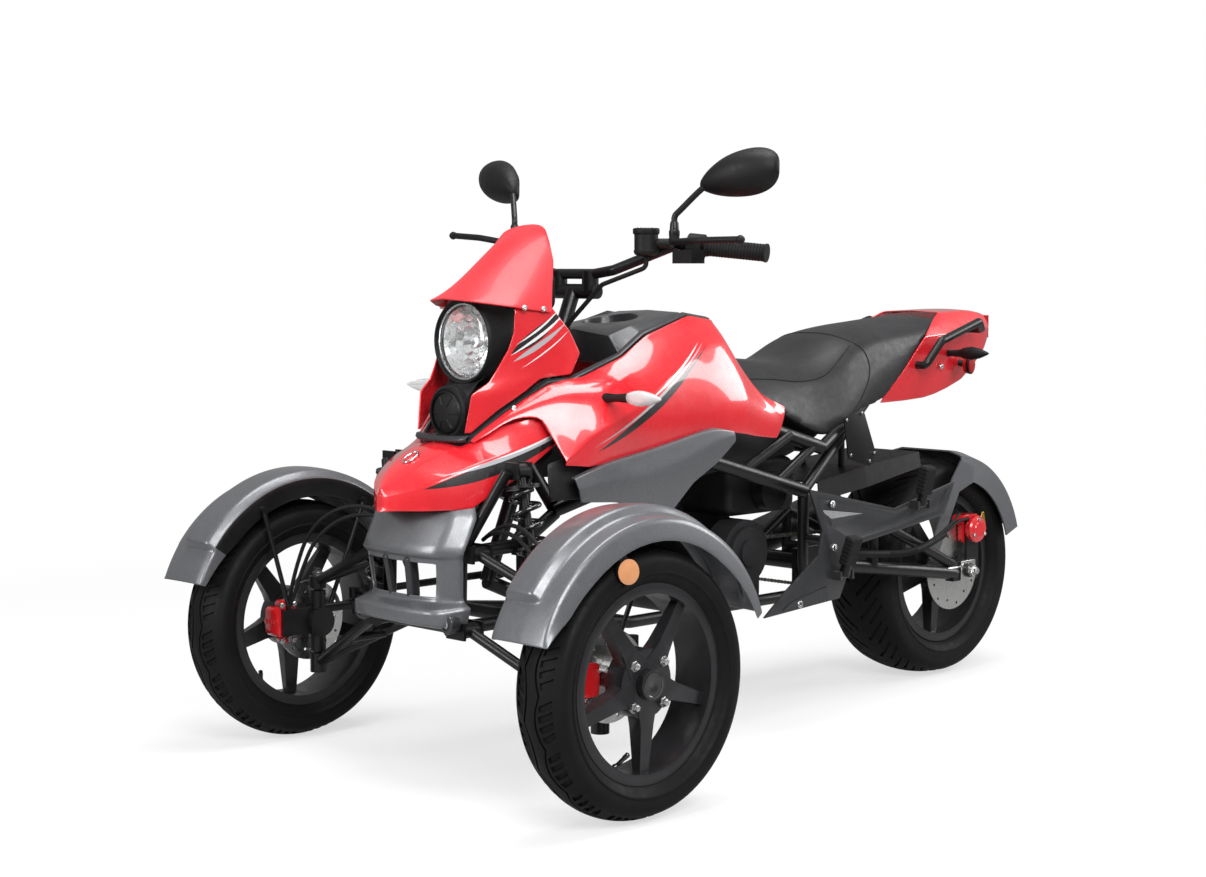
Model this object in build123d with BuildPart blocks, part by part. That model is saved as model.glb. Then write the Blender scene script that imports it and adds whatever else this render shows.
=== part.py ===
from build123d import *
from math import cos, hypot, radians, sin
import os

os.makedirs("parts", exist_ok=True)

# Layout: X forward, Y to the rider's left, Z up, floor at zero, in millimetres
wheelbase = 1590.0
front_track = 1050.0
front_axle_x = wheelbase / 2
rear_axle_x = -wheelbase / 2
wheel_y = front_track / 2
seat_gap = 0.3
run_gap = 0.05

# Front wheels
front_tyre_r = 262.0
front_tyre_half = 62.5
front_bead_half = 42.0
front_disc_r = 88.0
front_disc_y = 56.0
spindle_r = 12.0

# Rear wheel
rear_tyre_r = 275.0
rear_tyre_half = 95.0
rear_bead_half = 70.0
rear_disc_r = 105.0
rear_disc_y = 102.0
axle_r = 10.0

# Rims, shared by all wheels
bead_r = 178.0
flange_r = 190.0
flange_width = 4.5
barrel_wall = 8.0
spoke_count = 5
lug_count = 4
lug_circle_r = 55.0
disc_thickness = 4.0

# Steering
kingpin_x = front_axle_x
kingpin_inset = 85.0
kingpin_y = wheel_y - kingpin_inset
knuckle_low_z = front_tyre_r - 65.0
knuckle_top_z = front_tyre_r + 68.0
stud_r = 8.0
stud_gap = 0.3
stem_top = (440.0, 0.0, 985.0)
stem_low = (690.0, 0.0, 385.0)
stem_r = 16.0
pitman_end = (622.0, 34.0, 394.0)
steer_arm_end = (front_axle_x - 95.0, kingpin_y - 8.0, front_tyre_r + 28.0)

# Tubes
main_tube_r = 16.0
lower_tube_r = 13.0
box_tube_r = 14.0
brace_tube_r = 11.0
bar_r = 11.0
panel_wall = 4.0
stalk_r = 8.0
pin_r = 6.0


def rod(start, end, radius):
    """A straight round bar between two points."""
    direction = Vector(*end) - Vector(*start)
    with BuildPart() as bar:
        with BuildSketch(Plane(origin=start, z_dir=direction)):
            Circle(radius)
        extrude(amount=direction.length)
    return bar.part


def bent_tube(points, radius, bend):
    """A round tube along straight runs joined by arcs."""
    with BuildPart() as pipe:
        with BuildLine() as path:
            FilletPolyline(*points, radius=bend)
        with BuildSketch(Plane(origin=points[0], z_dir=path.line % 0)):
            Circle(radius)
        sweep(path=path.line)
    return pipe.part


def block(low, high):
    """A box between two corners."""
    size = [b - a for a, b in zip(low, high)]
    centre = tuple((a + b) / 2 for a, b in zip(low, high))
    with BuildPart() as box:
        with Locations(centre):
            Box(*size)
    return box.part


def side_plate_solid(outline, y_inner, y_outer):
    """A flat plate drawn in side view as x, z points."""
    with BuildPart() as plate:
        with BuildSketch(Plane.XZ.offset(-y_outer)):
            with BuildLine():
                Polyline(*outline, close=True)
            make_face()
        extrude(amount=y_outer - y_inner)
    return plate.part


def thick(points, wall):
    """A closed wall section from an open outer line; the wall lies to its right."""
    inner = []
    last = len(points) - 1
    for i, (a, b) in enumerate(points):
        before = points[max(i - 1, 0)]
        after = points[min(i + 1, last)]
        da = after[0] - before[0]
        db = after[1] - before[1]
        length = hypot(da, db)
        inner.append((a + wall * db / length, b - wall * da / length))
    return list(points) + inner[::-1]


def lofted(stations, plane_at):
    """A solid through closed outlines, one per station along an axis."""
    with BuildPart() as body:
        for place, outline in stations:
            with BuildSketch(plane_at(place)):
                with BuildLine():
                    Polyline(*outline, close=True)
                make_face()
        loft(ruled=True)
    return body.part


def across(x):
    """The plane across the vehicle at a distance forward."""
    return Plane.YZ.offset(x)


def spoke_plane(z):
    """The level plane at a height, with its second axis toward minus Y."""
    return Plane(origin=(0, 0, z), x_dir=(1, 0, 0), z_dir=(0, 0, -1))


def level(z):
    """The level plane at a height."""
    return Plane.XY.offset(z)


def trimmed(body, outline, half_width=700.0):
    """A body kept only inside an outline drawn in side view."""
    with BuildPart() as kept:
        add(body)
        add(side_plate_solid(outline, -half_width, half_width), mode=Mode.INTERSECT)
    return kept.part


def pair(left):
    """A left piece and its mirror image on the right."""
    with BuildPart() as both:
        add(left)
        add(mirror(left, about=Plane.XZ, mode=Mode.PRIVATE))
    return both.part


# Tyres: one closed ring each, with a round crown
def tyre_ring(radius, half, bead_half):
    bead_top = bead_r + 14
    widest_r = (radius + bead_top) / 2
    shoulder_r = radius - 13
    shoulder_half = half - 15.5
    with BuildPart() as ring:
        with BuildSketch():
            with BuildLine():
                Line((bead_r, -bead_half), (bead_r, bead_half))
                Line((bead_r, bead_half), (bead_top, bead_half))
                ThreePointArc(
                    (bead_top, bead_half),
                    (bead_top + 14, half - 5),
                    (widest_r, half),
                )
                ThreePointArc(
                    (widest_r, half),
                    (shoulder_r - 7, half - 5),
                    (shoulder_r, shoulder_half),
                )
                ThreePointArc((shoulder_r, shoulder_half), (radius, 0), (shoulder_r, -shoulder_half))
                ThreePointArc(
                    (shoulder_r, -shoulder_half),
                    (shoulder_r - 7, 5 - half),
                    (widest_r, -half),
                )
                ThreePointArc(
                    (widest_r, -half),
                    (bead_top + 14, 5 - half),
                    (bead_top, -bead_half),
                )
                Line((bead_top, -bead_half), (bead_r, -bead_half))
            make_face()
        revolve(axis=Axis.Y)
    return ring.part


# Rims: barrel with two flanges, five tapering spokes, hub and lug nuts, outer face toward plus Y
def rim_solid(bead_half, hub_r, hub_back, hub_face, spoke_back, spoke_face, bore_r, cap_face):
    seat_r = bead_r - seat_gap
    flange_in = bead_half + seat_gap
    flange_out = flange_in + flange_width
    barrel_r = seat_r - barrel_wall
    barrel = [
        (barrel_r, -flange_out),
        (flange_r, -flange_out),
        (flange_r, -flange_in),
        (seat_r, -flange_in),
        (seat_r, flange_in),
        (flange_r, flange_in),
        (flange_r, flange_out),
        (barrel_r, flange_out),
    ]
    spoke_rows = (
        # distance from the axle, half width, inner face, outer face
        (20.0, 33.0, spoke_back, spoke_face),
        (hub_r + 14, 20.0, spoke_back, spoke_face),
        (barrel_r + 3, 14.0, spoke_back + 4, spoke_face - 8),
    )
    spoke = lofted(
        [(-r, [(-half, -back), (half, -back), (half - 3, -face), (3 - half, -face)]) for r, half, back, face in spoke_rows],
        spoke_plane,
    )
    with BuildPart() as rim:
        with BuildSketch():
            with BuildLine():
                Polyline(*barrel, close=True)
            make_face()
        revolve(axis=Axis.Y)
        for n in range(spoke_count):
            add(spoke.rotate(Axis.Y, 360 / spoke_count * n))
        add(rod((0, hub_back, 0), (0, hub_face, 0), hub_r))
        add(rod((0, hub_face, 0), (0, cap_face, 0), hub_r * 0.45))
        for n in range(lug_count):
            turn = radians(45 + 360 / lug_count * n)
            lug_x = lug_circle_r * cos(turn)
            lug_z = lug_circle_r * sin(turn)
            add(rod((lug_x, hub_face - 8, lug_z), (lug_x, spoke_face + 8, lug_z), 9))
        add(rod((0, hub_back - 1, 0), (0, hub_face - 4, 0), bore_r), mode=Mode.SUBTRACT)
    return rim.part


# Brake discs: drilled plate on a hub carrier
def disc_solid(disc_r, disc_y, carrier_end, carrier_r, bore_r):
    hole_r = 3.5
    hole_count = 14
    plate_in = disc_y - disc_thickness / 2
    plate_out = disc_y + disc_thickness / 2
    with BuildPart() as disc:
        add(rod((0, plate_in, 0), (0, plate_out, 0), disc_r))
        add(rod((0, min(plate_in, carrier_end), 0), (0, max(plate_out, carrier_end), 0), carrier_r))
        for n in range(hole_count):
            turn = radians(360 / hole_count * n)
            ring_r = disc_r - 12 - 10 * (n % 2)
            spot = (ring_r * cos(turn), ring_r * sin(turn))
            start = (spot[0], plate_in - 1, spot[1])
            add(rod(start, (spot[0], plate_out + 1, spot[1]), hole_r), mode=Mode.SUBTRACT)
        add(rod((0, -200, 0), (0, 200, 0), bore_r), mode=Mode.SUBTRACT)
    return disc.part


front_hub_back = -5.0
front_hub_face = 38.0
front_centre_left = (front_axle_x, wheel_y, front_tyre_r)
rear_centre = (rear_axle_x, 0.0, rear_tyre_r)

with BuildPart() as tyre_front_left:
    with Locations(front_centre_left):
        add(tyre_ring(front_tyre_r, front_tyre_half, front_bead_half))

with BuildPart() as rim_front_left:
    with Locations(front_centre_left):
        add(rim_solid(front_bead_half, 66, front_hub_back, front_hub_face, 12, 40, spindle_r + run_gap, 56))

with BuildPart() as disc_front_left:
    with Locations(front_centre_left):
        add(disc_solid(front_disc_r, -front_disc_y, front_hub_back - seat_gap, 42, spindle_r + run_gap))

with BuildPart() as tyre_rear:
    with Locations(rear_centre):
        add(tyre_ring(rear_tyre_r, rear_tyre_half, rear_bead_half))

rear_hub_half = 96.0
with BuildPart() as rim_rear:
    with Locations(rear_centre):
        add(rim_solid(rear_bead_half, 48, -rear_hub_half, 60, 24, 56, axle_r + run_gap, rear_hub_half))
        add(rod((0, -200, 0), (0, 200, 0), axle_r + run_gap), mode=Mode.SUBTRACT)

sprocket_r = 84.0
chain_y = -107.0
with BuildPart() as disc_rear:
    with Locations(rear_centre):
        add(disc_solid(rear_disc_r, rear_disc_y, rear_hub_half + seat_gap, 46, axle_r + run_gap))
        add(disc_solid(sprocket_r, chain_y, -rear_hub_half - seat_gap, 46, axle_r + run_gap))

# Knuckles: upright with a stub axle, a steering arm, a caliper bracket and fender stays
stay_r = 5.0
stay_pad_r = 7.0
fender_stay_r = front_tyre_r + 28.0
fender_section = [
    # distance from the axle, y
    (front_tyre_r + 10, wheel_y - 70),
    (front_tyre_r + 56, wheel_y - 63),
    (front_tyre_r + 62, wheel_y - 33),
    (front_tyre_r + 70, wheel_y - 25),
    (front_tyre_r + 70, wheel_y + 27),
    (front_tyre_r + 62, wheel_y + 35),
    (front_tyre_r + 54, wheel_y + 66),
    (front_tyre_r + 8, wheel_y + 76),
]
(skirt_low_r, skirt_low_y), (skirt_top_r, skirt_top_y) = fender_section[:2]
skirt_slope = (skirt_top_y - skirt_low_y) / (skirt_top_r - skirt_low_r)
stay_pad_y = skirt_low_y + skirt_slope * (fender_stay_r - stay_pad_r - skirt_low_r) - seat_gap
caliper_arm_half = 6.0
caliper_x_low = front_axle_x + 51
caliper_x_high = front_axle_x + 105
with BuildPart() as knuckle_left:
    add(rod((kingpin_x, kingpin_y, knuckle_low_z), (kingpin_x, kingpin_y, knuckle_top_z), 17))
    add(rod((kingpin_x, kingpin_y - 18, front_tyre_r), (kingpin_x, kingpin_y + 13, front_tyre_r), 32))
    add(rod((kingpin_x, kingpin_y, front_tyre_r), (kingpin_x, wheel_y + 30, front_tyre_r), spindle_r))
    eye_x, eye_y, eye_z = steer_arm_end
    add(rod((kingpin_x, eye_y + 2, eye_z), steer_arm_end, 10))
    add(rod((eye_x, eye_y, eye_z - 9), (eye_x, eye_y, eye_z + 9), 15))
    add(
        block(
            (kingpin_x, kingpin_y - caliper_arm_half, front_tyre_r - 24),
            (caliper_x_high - 10, kingpin_y + caliper_arm_half, front_tyre_r + 34),
        )
    )
    for angle in (62, 118):
        foot_x = kingpin_x + fender_stay_r * cos(radians(angle))
        foot_z = front_tyre_r + fender_stay_r * sin(radians(angle))
        root_x = kingpin_x + 71 if angle < 90 else kingpin_x - 24
        add(rod((root_x, kingpin_y, front_tyre_r + 12), (foot_x, kingpin_y + 8, foot_z), stay_r))
        add(rod((foot_x, kingpin_y + 1, foot_z), (foot_x, stay_pad_y, foot_z), stay_pad_r))
    for end_z, way in ((knuckle_low_z, 1), (knuckle_top_z, -1)):
        add(
            rod((kingpin_x, kingpin_y, end_z), (kingpin_x, kingpin_y, end_z + way * 24), stud_r + stud_gap),
            mode=Mode.SUBTRACT,
        )
    pin_low = (eye_x, eye_y, eye_z - 20)
    add(rod(pin_low, (eye_x, eye_y, eye_z + 20), stud_r - 2 + stud_gap), mode=Mode.SUBTRACT)

# Front calipers: a block astride the disc
with BuildPart() as caliper_front_left:
    add(
        block(
            (caliper_x_low, kingpin_y + caliper_arm_half + seat_gap, front_tyre_r - 26),
            (caliper_x_high, wheel_y - front_disc_y + 21, front_tyre_r + 38),
        )
    )
    fillet(caliper_front_left.edges().filter_by(Axis.Y), 12)
    with Locations((front_axle_x, wheel_y - front_disc_y, front_tyre_r)):
        add(rod((0, -5, 0), (0, 5, 0), front_disc_r + 4), mode=Mode.SUBTRACT)

# Front fenders: a shell turned round the wheel, with a raised rib, an inner skirt and an arched outer skirt
fender_from = 20.0
fender_to = 161.0
outer_arch_r = front_tyre_r + 38
outer_arch_drop = 37.0
with BuildPart() as fender_turned:
    with BuildSketch(Plane.XY):
        with BuildLine():
            Polyline(*thick(fender_section, -panel_wall), close=True)
        make_face()
    revolve(axis=Axis.Y, revolution_arc=fender_to - fender_from)
with BuildPart() as fender_front_left:
    with Locations(Location((front_axle_x, 0, front_tyre_r)) * Rotation(0, -fender_to, 0)):
        add(fender_turned.part)
    arch_z = front_tyre_r - outer_arch_drop
    arch_start = (front_axle_x, wheel_y + 52, arch_z)
    add(rod(arch_start, (front_axle_x, wheel_y + 120, arch_z), outer_arch_r), mode=Mode.SUBTRACT)


def other_side(left):
    """The mirror image of a finished left piece."""
    with BuildPart() as right:
        add(mirror(left.part, about=Plane.XZ, mode=Mode.PRIVATE))
    return right


tyre_front_right = other_side(tyre_front_left)
rim_front_right = other_side(rim_front_left)
disc_front_right = other_side(disc_front_left)
knuckle_right = other_side(knuckle_left)
caliper_front_right = other_side(caliper_front_left)
fender_front_right = other_side(fender_front_left)

# Tie rods: a bar with an eye pin in the steering arm
with BuildPart() as tie_rod_left:
    add(rod((eye_x, eye_y, eye_z - 22), (eye_x, eye_y, eye_z + 36), stud_r - 2))
    add(rod((eye_x, eye_y, eye_z + 14), (eye_x, eye_y, eye_z + 36), 13))
    add(rod((eye_x, eye_y, eye_z + 25), pitman_end, 8))
    with Locations(pitman_end):
        Sphere(13)
tie_rod_right = other_side(tie_rod_left)

# Suspension arms: an upper and a lower wishbone a side, with ball joint housings and pivot bushes
arm_pivot_y = 143.0
arm_rows = (
    # housing_low, housing_high, stud_end, leg_z, pivot_x_front, pivot_x_rear, pivot_y, pivot_z
    (knuckle_low_z - 47, knuckle_low_z - 5, knuckle_low_z + 22, knuckle_low_z - 26, 866.0, 690.0, arm_pivot_y, 320.0),
    (knuckle_top_z + 5, knuckle_top_z + 32, knuckle_top_z - 22, knuckle_top_z + 20, 842.0, 690.0, arm_pivot_y, 470.0),
)
bush_r = 15.0
bush_half = 20.0
shock_x = 776.0
shock_foot_share = 5 / 11
shock_foot_y = arm_pivot_y + (kingpin_y - arm_pivot_y) * shock_foot_share
shock_top = (shock_x, 197.0, 634.0)
shock_low = (shock_x, shock_foot_y, 272.0)
with BuildPart() as arms_left:
    for low, high, stud_end, leg_z, x_front, x_rear, pivot_y, pivot_z in arm_rows:
        add(rod((kingpin_x, kingpin_y, low), (kingpin_x, kingpin_y, high), 18))
        add(rod((kingpin_x, kingpin_y, (low + high) / 2), (kingpin_x, kingpin_y, stud_end), stud_r))
        for pivot_x in (x_front, x_rear):
            add(rod((kingpin_x, kingpin_y, leg_z), (pivot_x, pivot_y, pivot_z), brace_tube_r))
            add(rod((pivot_x - bush_half, pivot_y, pivot_z), (pivot_x + bush_half, pivot_y, pivot_z), bush_r))
    shock_bar_z = 248.0
    add(rod((738, shock_foot_y, shock_bar_z), (833, shock_foot_y, shock_bar_z), 9))
control_arms_part = pair(arms_left.part)
with BuildPart() as control_arms:
    add(control_arms_part)

# Shock absorbers: damper with eyes and spring plates, and a coil spring round it
spring_r = 27.0
wire_r = 5.0
damper_r = 19.0
shock_axis = Vector(*shock_top) - Vector(*shock_low)
shock_length = shock_axis.length
spring_turns = 7
spring_low = 85.0
spring_high = shock_length - 40
with BuildPart() as damper_left:
    with Locations(Plane(origin=shock_low, z_dir=shock_axis)):
        Cylinder(damper_r, shock_length * 0.6, align=(Align.CENTER, Align.CENTER, Align.MIN))
        Cylinder(8, shock_length - 10, align=(Align.CENTER, Align.CENTER, Align.MIN))
        with Locations((0, 0, spring_low - wire_r - 6 - seat_gap)):
            Cylinder(spring_r + 7, 6, align=(Align.CENTER, Align.CENTER, Align.MIN))
        with Locations((0, 0, spring_high + wire_r + seat_gap)):
            Cylinder(spring_r + 7, 6, align=(Align.CENTER, Align.CENTER, Align.MIN))
    add(rod((shock_x - 14, shock_top[1], shock_top[2]), (shock_x + 14, shock_top[1], shock_top[2]), 15))
    bar_back = (shock_x - 40, shock_foot_y, shock_bar_z)
    bar_front = (shock_x + 40, shock_foot_y, shock_bar_z)
    add(rod(bar_back, bar_front, 9 + seat_gap), mode=Mode.SUBTRACT)
with BuildPart() as shock_dampers:
    add(pair(damper_left.part))

with BuildPart() as spring_left:
    with BuildLine() as coil:
        Helix((spring_high - spring_low) / spring_turns, spring_high - spring_low, spring_r)
    with BuildSketch(Plane(origin=coil.line @ 0, z_dir=coil.line % 0)):
        Circle(wire_r)
    sweep(path=coil.line, is_frenet=True)
spring_place = Plane(origin=shock_low, z_dir=shock_axis).location * Location((0, 0, spring_low))
with BuildPart() as shock_springs:
    add(pair(spring_left.part.moved(spring_place)))

# Frame: welded tubes from the front suspension box to the tail
straight_tubes = (
    # start, end, radius
    ((893, 110, 320), (690, 110, 320), box_tube_r),
    ((869, 110, 469), (655, 110, 473), box_tube_r),
    ((700, 110, 472), (600, 110, 530), box_tube_r),
    ((540, 14, 745), (632, 44, 827), 8),
    ((862, 110, 320), (858, 110, 472), box_tube_r),
    ((690, 110, 320), (690, 110, 505), box_tube_r),
    ((690, 110, 505), (750, 188, 634), brace_tube_r),
    ((850, 110, 475), (803, 188, 634), brace_tube_r),
    ((125, 205, 590), (-45, 198, 660), brace_tube_r),
    ((10, 205, 558), (-135, 195, 632), brace_tube_r),
    ((-85, 205, 532), (-150, 150, 285), lower_tube_r),
    ((-85, 205, 532), (-385, 140, 714), lower_tube_r),
    ((606, 110, 545), (590, 20, 625), box_tube_r),
)
bent_tubes = (
    # points, radius, bend radius
    (((545, 22, 735), (300, 150, 766), (-160, 195, 625)), main_tube_r, 80),
    (((606, 110, 535), (300, 203, 640), (-85, 205, 532)), main_tube_r, 80),
    (((690, 110, 320), (420, 150, 285), (-150, 150, 285)), lower_tube_r, 60),
    (((-160, 195, 625), (-400, 135, 722), (-860, 56, 800)), lower_tube_r, 80),
)
cross_tubes = (
    # x, half length, z, radius
    (858, 110, 470, box_tube_r),
    (862, 110, 320, box_tube_r),
    (690, 110, 320, box_tube_r),
    (420, 150, 285, lower_tube_r),
    (-60, 150, 285, lower_tube_r),
    (-160, 195, 625, lower_tube_r),
    (-400, 135, 722, lower_tube_r),
    (-800, 66, 790, lower_tube_r),
)
bracket_half = 17.0
pivot_x = -190.0
pivot_z = 350.0
swing_inner_y = 143.0
with BuildPart() as frame:
    for start, end, radius in straight_tubes:
        add(rod(start, end, radius))
        add(rod((start[0], -start[1], start[2]), (end[0], -end[1], end[2]), radius))
    for points, radius, bend in bent_tubes:
        add(bent_tube(points, radius, bend))
        add(bent_tube([(x, -y, z) for x, y, z in points], radius, bend))
    for x, half, z, radius in cross_tubes:
        add(rod((x, -half, z), (x, half, z), radius))
    for side in (1, -1):
        for low, high, stud_end, leg_z, x_front, x_rear, bush_y, bush_z in arm_rows:
            for bush_x in (x_front, x_rear):
                for face in (bush_half + seat_gap, -bush_half - seat_gap - 6):
                    corner = (bush_x + face, min(side * 104, side * 158), bush_z - bracket_half)
                    far = (bush_x + face + 6, max(side * 104, side * 158), bush_z + bracket_half)
                    add(block(corner, far))
        for face in (14 + seat_gap, -14 - seat_gap - 6):
            corner = (shock_x + face, min(side * 172, side * 210), 618)
            far = (shock_x + face + 6, max(side * 172, side * 210), 652)
            add(block(corner, far))
        plate_in = side * (swing_inner_y + seat_gap)
        plate_out = side * 157
        add(block((-232, min(plate_in, plate_out), 280), (-120, max(plate_in, plate_out), 392)))
    add(block((632, -58, 812), (640 - seat_gap, 58, 852)))
    add(rod((622, 0, 548), (528, 0, 774), 27))
    add(rod(stem_low, stem_top, stem_r + stud_gap), mode=Mode.SUBTRACT)

# Engine: crankcase, leaning finned cylinder and a round left cover with a raised ring
cover_x = 57.0
cover_z = 400.0
with BuildPart() as engine:
    add(block((-42, -112, 268), (215, 112, 432)))
    fillet(engine.edges().filter_by(Axis.Y), 28)
    add(rod((cover_x, 100, cover_z), (cover_x, 158, cover_z), 74))
    add(rod((cover_x, 150, cover_z), (cover_x, 168, cover_z), 58))
    add(rod((cover_x, 160, cover_z), (cover_x, 174, cover_z), 30))
    add(rod((120, -100, 360), (120, -150, 360), 62))
    add(rod((150, 0, 380), (224, 0, 560), 50))
    add(rod((200, -20, 478), (286, -20, 462), 24))
    for n in range(6):
        share = 0.3 + 0.115 * n
        fin_low = (150 + 74 * share, 0, 380 + 180 * share)
        fin_high = (150 + 74 * (share + 0.045), 0, 380 + 180 * (share + 0.045))
        add(rod(fin_low, fin_high, 68))
    for side in (1, -1):
        add(block((20, min(side * 100, side * 136.7), 272), (70, max(side * 100, side * 136.7), 298)))
    add(rod((-90, -60, 350), (-90, -103.7, 350), 14))
    add(block((-100, -75, 330), (-20, -55, 370)))

# Air box under the tank
with BuildPart() as airbox:
    add(block((-135, -140, 480), (95, 140, 605)))
    fillet(airbox.edges().filter_by(Axis.Y), 26)
    fillet(airbox.edges().filter_by(Axis.X), 16)
    add(rod((-20, 130, 535), (-20, 176, 535), 44))
    add(block((2, -60, 432 + seat_gap), (42, 60, 484)))

# Exhaust: header pipe on the right, muffler beside the rear wheel
with BuildPart() as exhaust:
    add(bent_tube([(287.8, -20, 461.8), (352, -24, 450), (320, -215, 396), (-330, -215, 340)], 18, 45))
    add(rod((-300, -215, 334), (-700, -215, 420), 46))
    add(rod((-690, -215, 418), (-725, -215, 426), 22))

# Chain with the front sprocket inside it
chain_front = (-90.0, 350.0)
chain_front_r = 36.0
chain_rear_r = 92.0
chain_half = 6.0
with BuildPart() as chain:
    with BuildSketch(Plane.XZ.offset(-chain_y - 7)):
        with Locations((chain_front[0], chain_front[1])):
            Circle(chain_front_r + chain_half)
        with Locations((rear_axle_x, rear_tyre_r)):
            Circle(chain_rear_r + chain_half)
        make_hull()
    extrude(amount=14)
    with BuildSketch(Plane.XZ.offset(-chain_y - 10)):
        with Locations((chain_front[0], chain_front[1])):
            Circle(chain_front_r - chain_half)
        with Locations((rear_axle_x, rear_tyre_r)):
            Circle(chain_rear_r - chain_half)
        make_hull()
    extrude(amount=20, mode=Mode.SUBTRACT)
    add(rod((chain_front[0], chain_y - 3, chain_front[1]), (chain_front[0], chain_y + 3, chain_front[1]), chain_front_r - 2))

# Swingarm: pivot tube, two trussed arms, axle and end plates
arm_y = 136.0
with BuildPart() as swingarm:
    add(rod((pivot_x, -swing_inner_y, pivot_z), (pivot_x, swing_inner_y, pivot_z), 18))
    add(rod((-430, -arm_y, 345), (-430, arm_y, 345), 14))
    add(rod((rear_axle_x, -166, rear_tyre_r), (rear_axle_x, 166, rear_tyre_r), axle_r))
    for side in (1, -1):
        y = side * arm_y
        add(rod((pivot_x, side * 124, pivot_z), (rear_axle_x + 35, y, rear_tyre_r - 7), 16))
        add(rod((-430, y, 432), (rear_axle_x + 45, y, rear_tyre_r + 17), 13))
        add(rod((-430, y, 318), (-430, y, 432), 12))
        add(rod((-260, side * 126, 342), (-430, y, 432), 13))
        end_low = (rear_axle_x - 50, min(side * 124, side * 148), rear_tyre_r - 25)
        add(block(end_low, (rear_axle_x + 55, max(side * 124, side * 148), rear_tyre_r + 25)))
        add(rod((rear_axle_x, side * 148, rear_tyre_r), (rear_axle_x, side * 160, rear_tyre_r), 18))
    add(block((rear_axle_x - 80, 119, rear_tyre_r + 5), (rear_axle_x - 30, 127, rear_tyre_r + 125)))

with BuildPart() as rear_caliper:
    add(
        block(
            (rear_axle_x - 91, rear_disc_y - 14, rear_tyre_r + 63),
            (rear_axle_x - 19, 119 - seat_gap, rear_tyre_r + 133),
        )
    )
    fillet(rear_caliper.edges().filter_by(Axis.Y), 14)
    add(rod((rear_axle_x, rear_disc_y - 5, rear_tyre_r), (rear_axle_x, rear_disc_y + 5, rear_tyre_r), rear_disc_r + 4), mode=Mode.SUBTRACT)

# Rear fender: a shell over the wheel, with a leg a side down to the swingarm
rear_fender_y = 120.0
rear_fender_section = [
    # distance from the axle, y
    (rear_tyre_r - 50, -rear_fender_y),
    (rear_tyre_r + 10, 6 - rear_fender_y),
    (rear_tyre_r + 22, 46 - rear_fender_y),
    (rear_tyre_r + 22, rear_fender_y - 46),
    (rear_tyre_r + 10, rear_fender_y - 6),
    (rear_tyre_r - 50, rear_fender_y),
]
rear_fender_from = 94.0
rear_fender_to = 163.0
with BuildPart() as rear_fender_shell:
    with BuildSketch(Plane.XY):
        with BuildLine():
            Polyline(*thick(rear_fender_section, -panel_wall), close=True)
        make_face()
    revolve(axis=Axis.Y, revolution_arc=rear_fender_to - rear_fender_from)
leg_offsets = [(-11, 273), (25, 230), (119, 47), (89, 29), (-5, 195), (-65, 215), (-65, 255)]
leg_outline = [(rear_axle_x + x, rear_tyre_r + z) for x, z in leg_offsets]
with BuildPart() as rear_fender:
    with Locations(Location(rear_centre) * Rotation(0, -rear_fender_to, 0)):
        add(rear_fender_shell.part)
    for side in (1, -1):
        leg_in = rear_fender_y - panel_wall
        leg_faces = sorted((side * leg_in, side * rear_fender_y))
        add(side_plate_solid(leg_outline, *leg_faces))
        foot = (rear_axle_x + 100, side * (rear_fender_y - 2), rear_tyre_r + 41)
        add(rod(foot, (foot[0], side * (124 - seat_gap - 1), foot[2]), 8))

# Inner rear fender under the seat
hugger_rows = (
    # x, half width, low z, top z
    (-250, 118, rear_tyre_r + 213, rear_tyre_r + 258),
    (-420, 124, rear_tyre_r + 235, rear_tyre_r + 285),
    (-650, 112, rear_tyre_r + 268, rear_tyre_r + 305),
)
with BuildPart() as rear_hugger:
    add(
        lofted(
            [
                (x, thick([(half, low), (half - 8, top), (8 - half, top), (-half, low)][::-1], panel_wall))
                for x, half, low, top in hugger_rows
            ],
            across,
        )
    )
    for side in (1, -1):
        add(rod((-400, side * 60, rear_tyre_r + 279.5), (-400, side * 60, 722 - lower_tube_r - seat_gap), 8))

# Nose cowl: arrow plan, raised middle, sharp side creases and two arms tapering to points
nose_rows = (
    # x, low y, low z, crease y, crease z, ridge y, ridge z
    (966, 22, 556, 20, 584, 12, 598),
    (925, 78, 557, 80, 604, 36, 630),
    (850, 132, 560, 122, 638, 52, 668),
    (812, 146, 584, 134, 652, 62, 672),
    (757, 161, 613, 150, 664, 104, 712),
    (700, 165, 649, 160, 686, 138, 731),
    (600, 171, 706, 172, 716, 170, 726),
)
nose_mouth_x = 812.0
with BuildPart() as nose_cowl:
    add(
        lofted(
            [
                (x, thick([(-ly, lz), (-cy, cz), (-ry, rz), (ry, rz), (cy, cz), (ly, lz)], panel_wall))
                for x, ly, lz, cy, cz, ry, rz in nose_rows
            ],
            across,
        )
    )
    mouth = [(x, ry - 1) for x, ly, lz, cy, cz, ry, rz in nose_rows if x <= nose_mouth_x]
    with BuildSketch(level(600)):
        with BuildLine():
            Polyline(*mouth, *[(x, -y) for x, y in mouth[::-1]], close=True)
        make_face()
    extrude(amount=200, mode=Mode.SUBTRACT)
    for side in (1, -1):
        add(rod((858, side * 30, 470 + box_tube_r + seat_gap), (858, side * 30, 660), 8))

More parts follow.
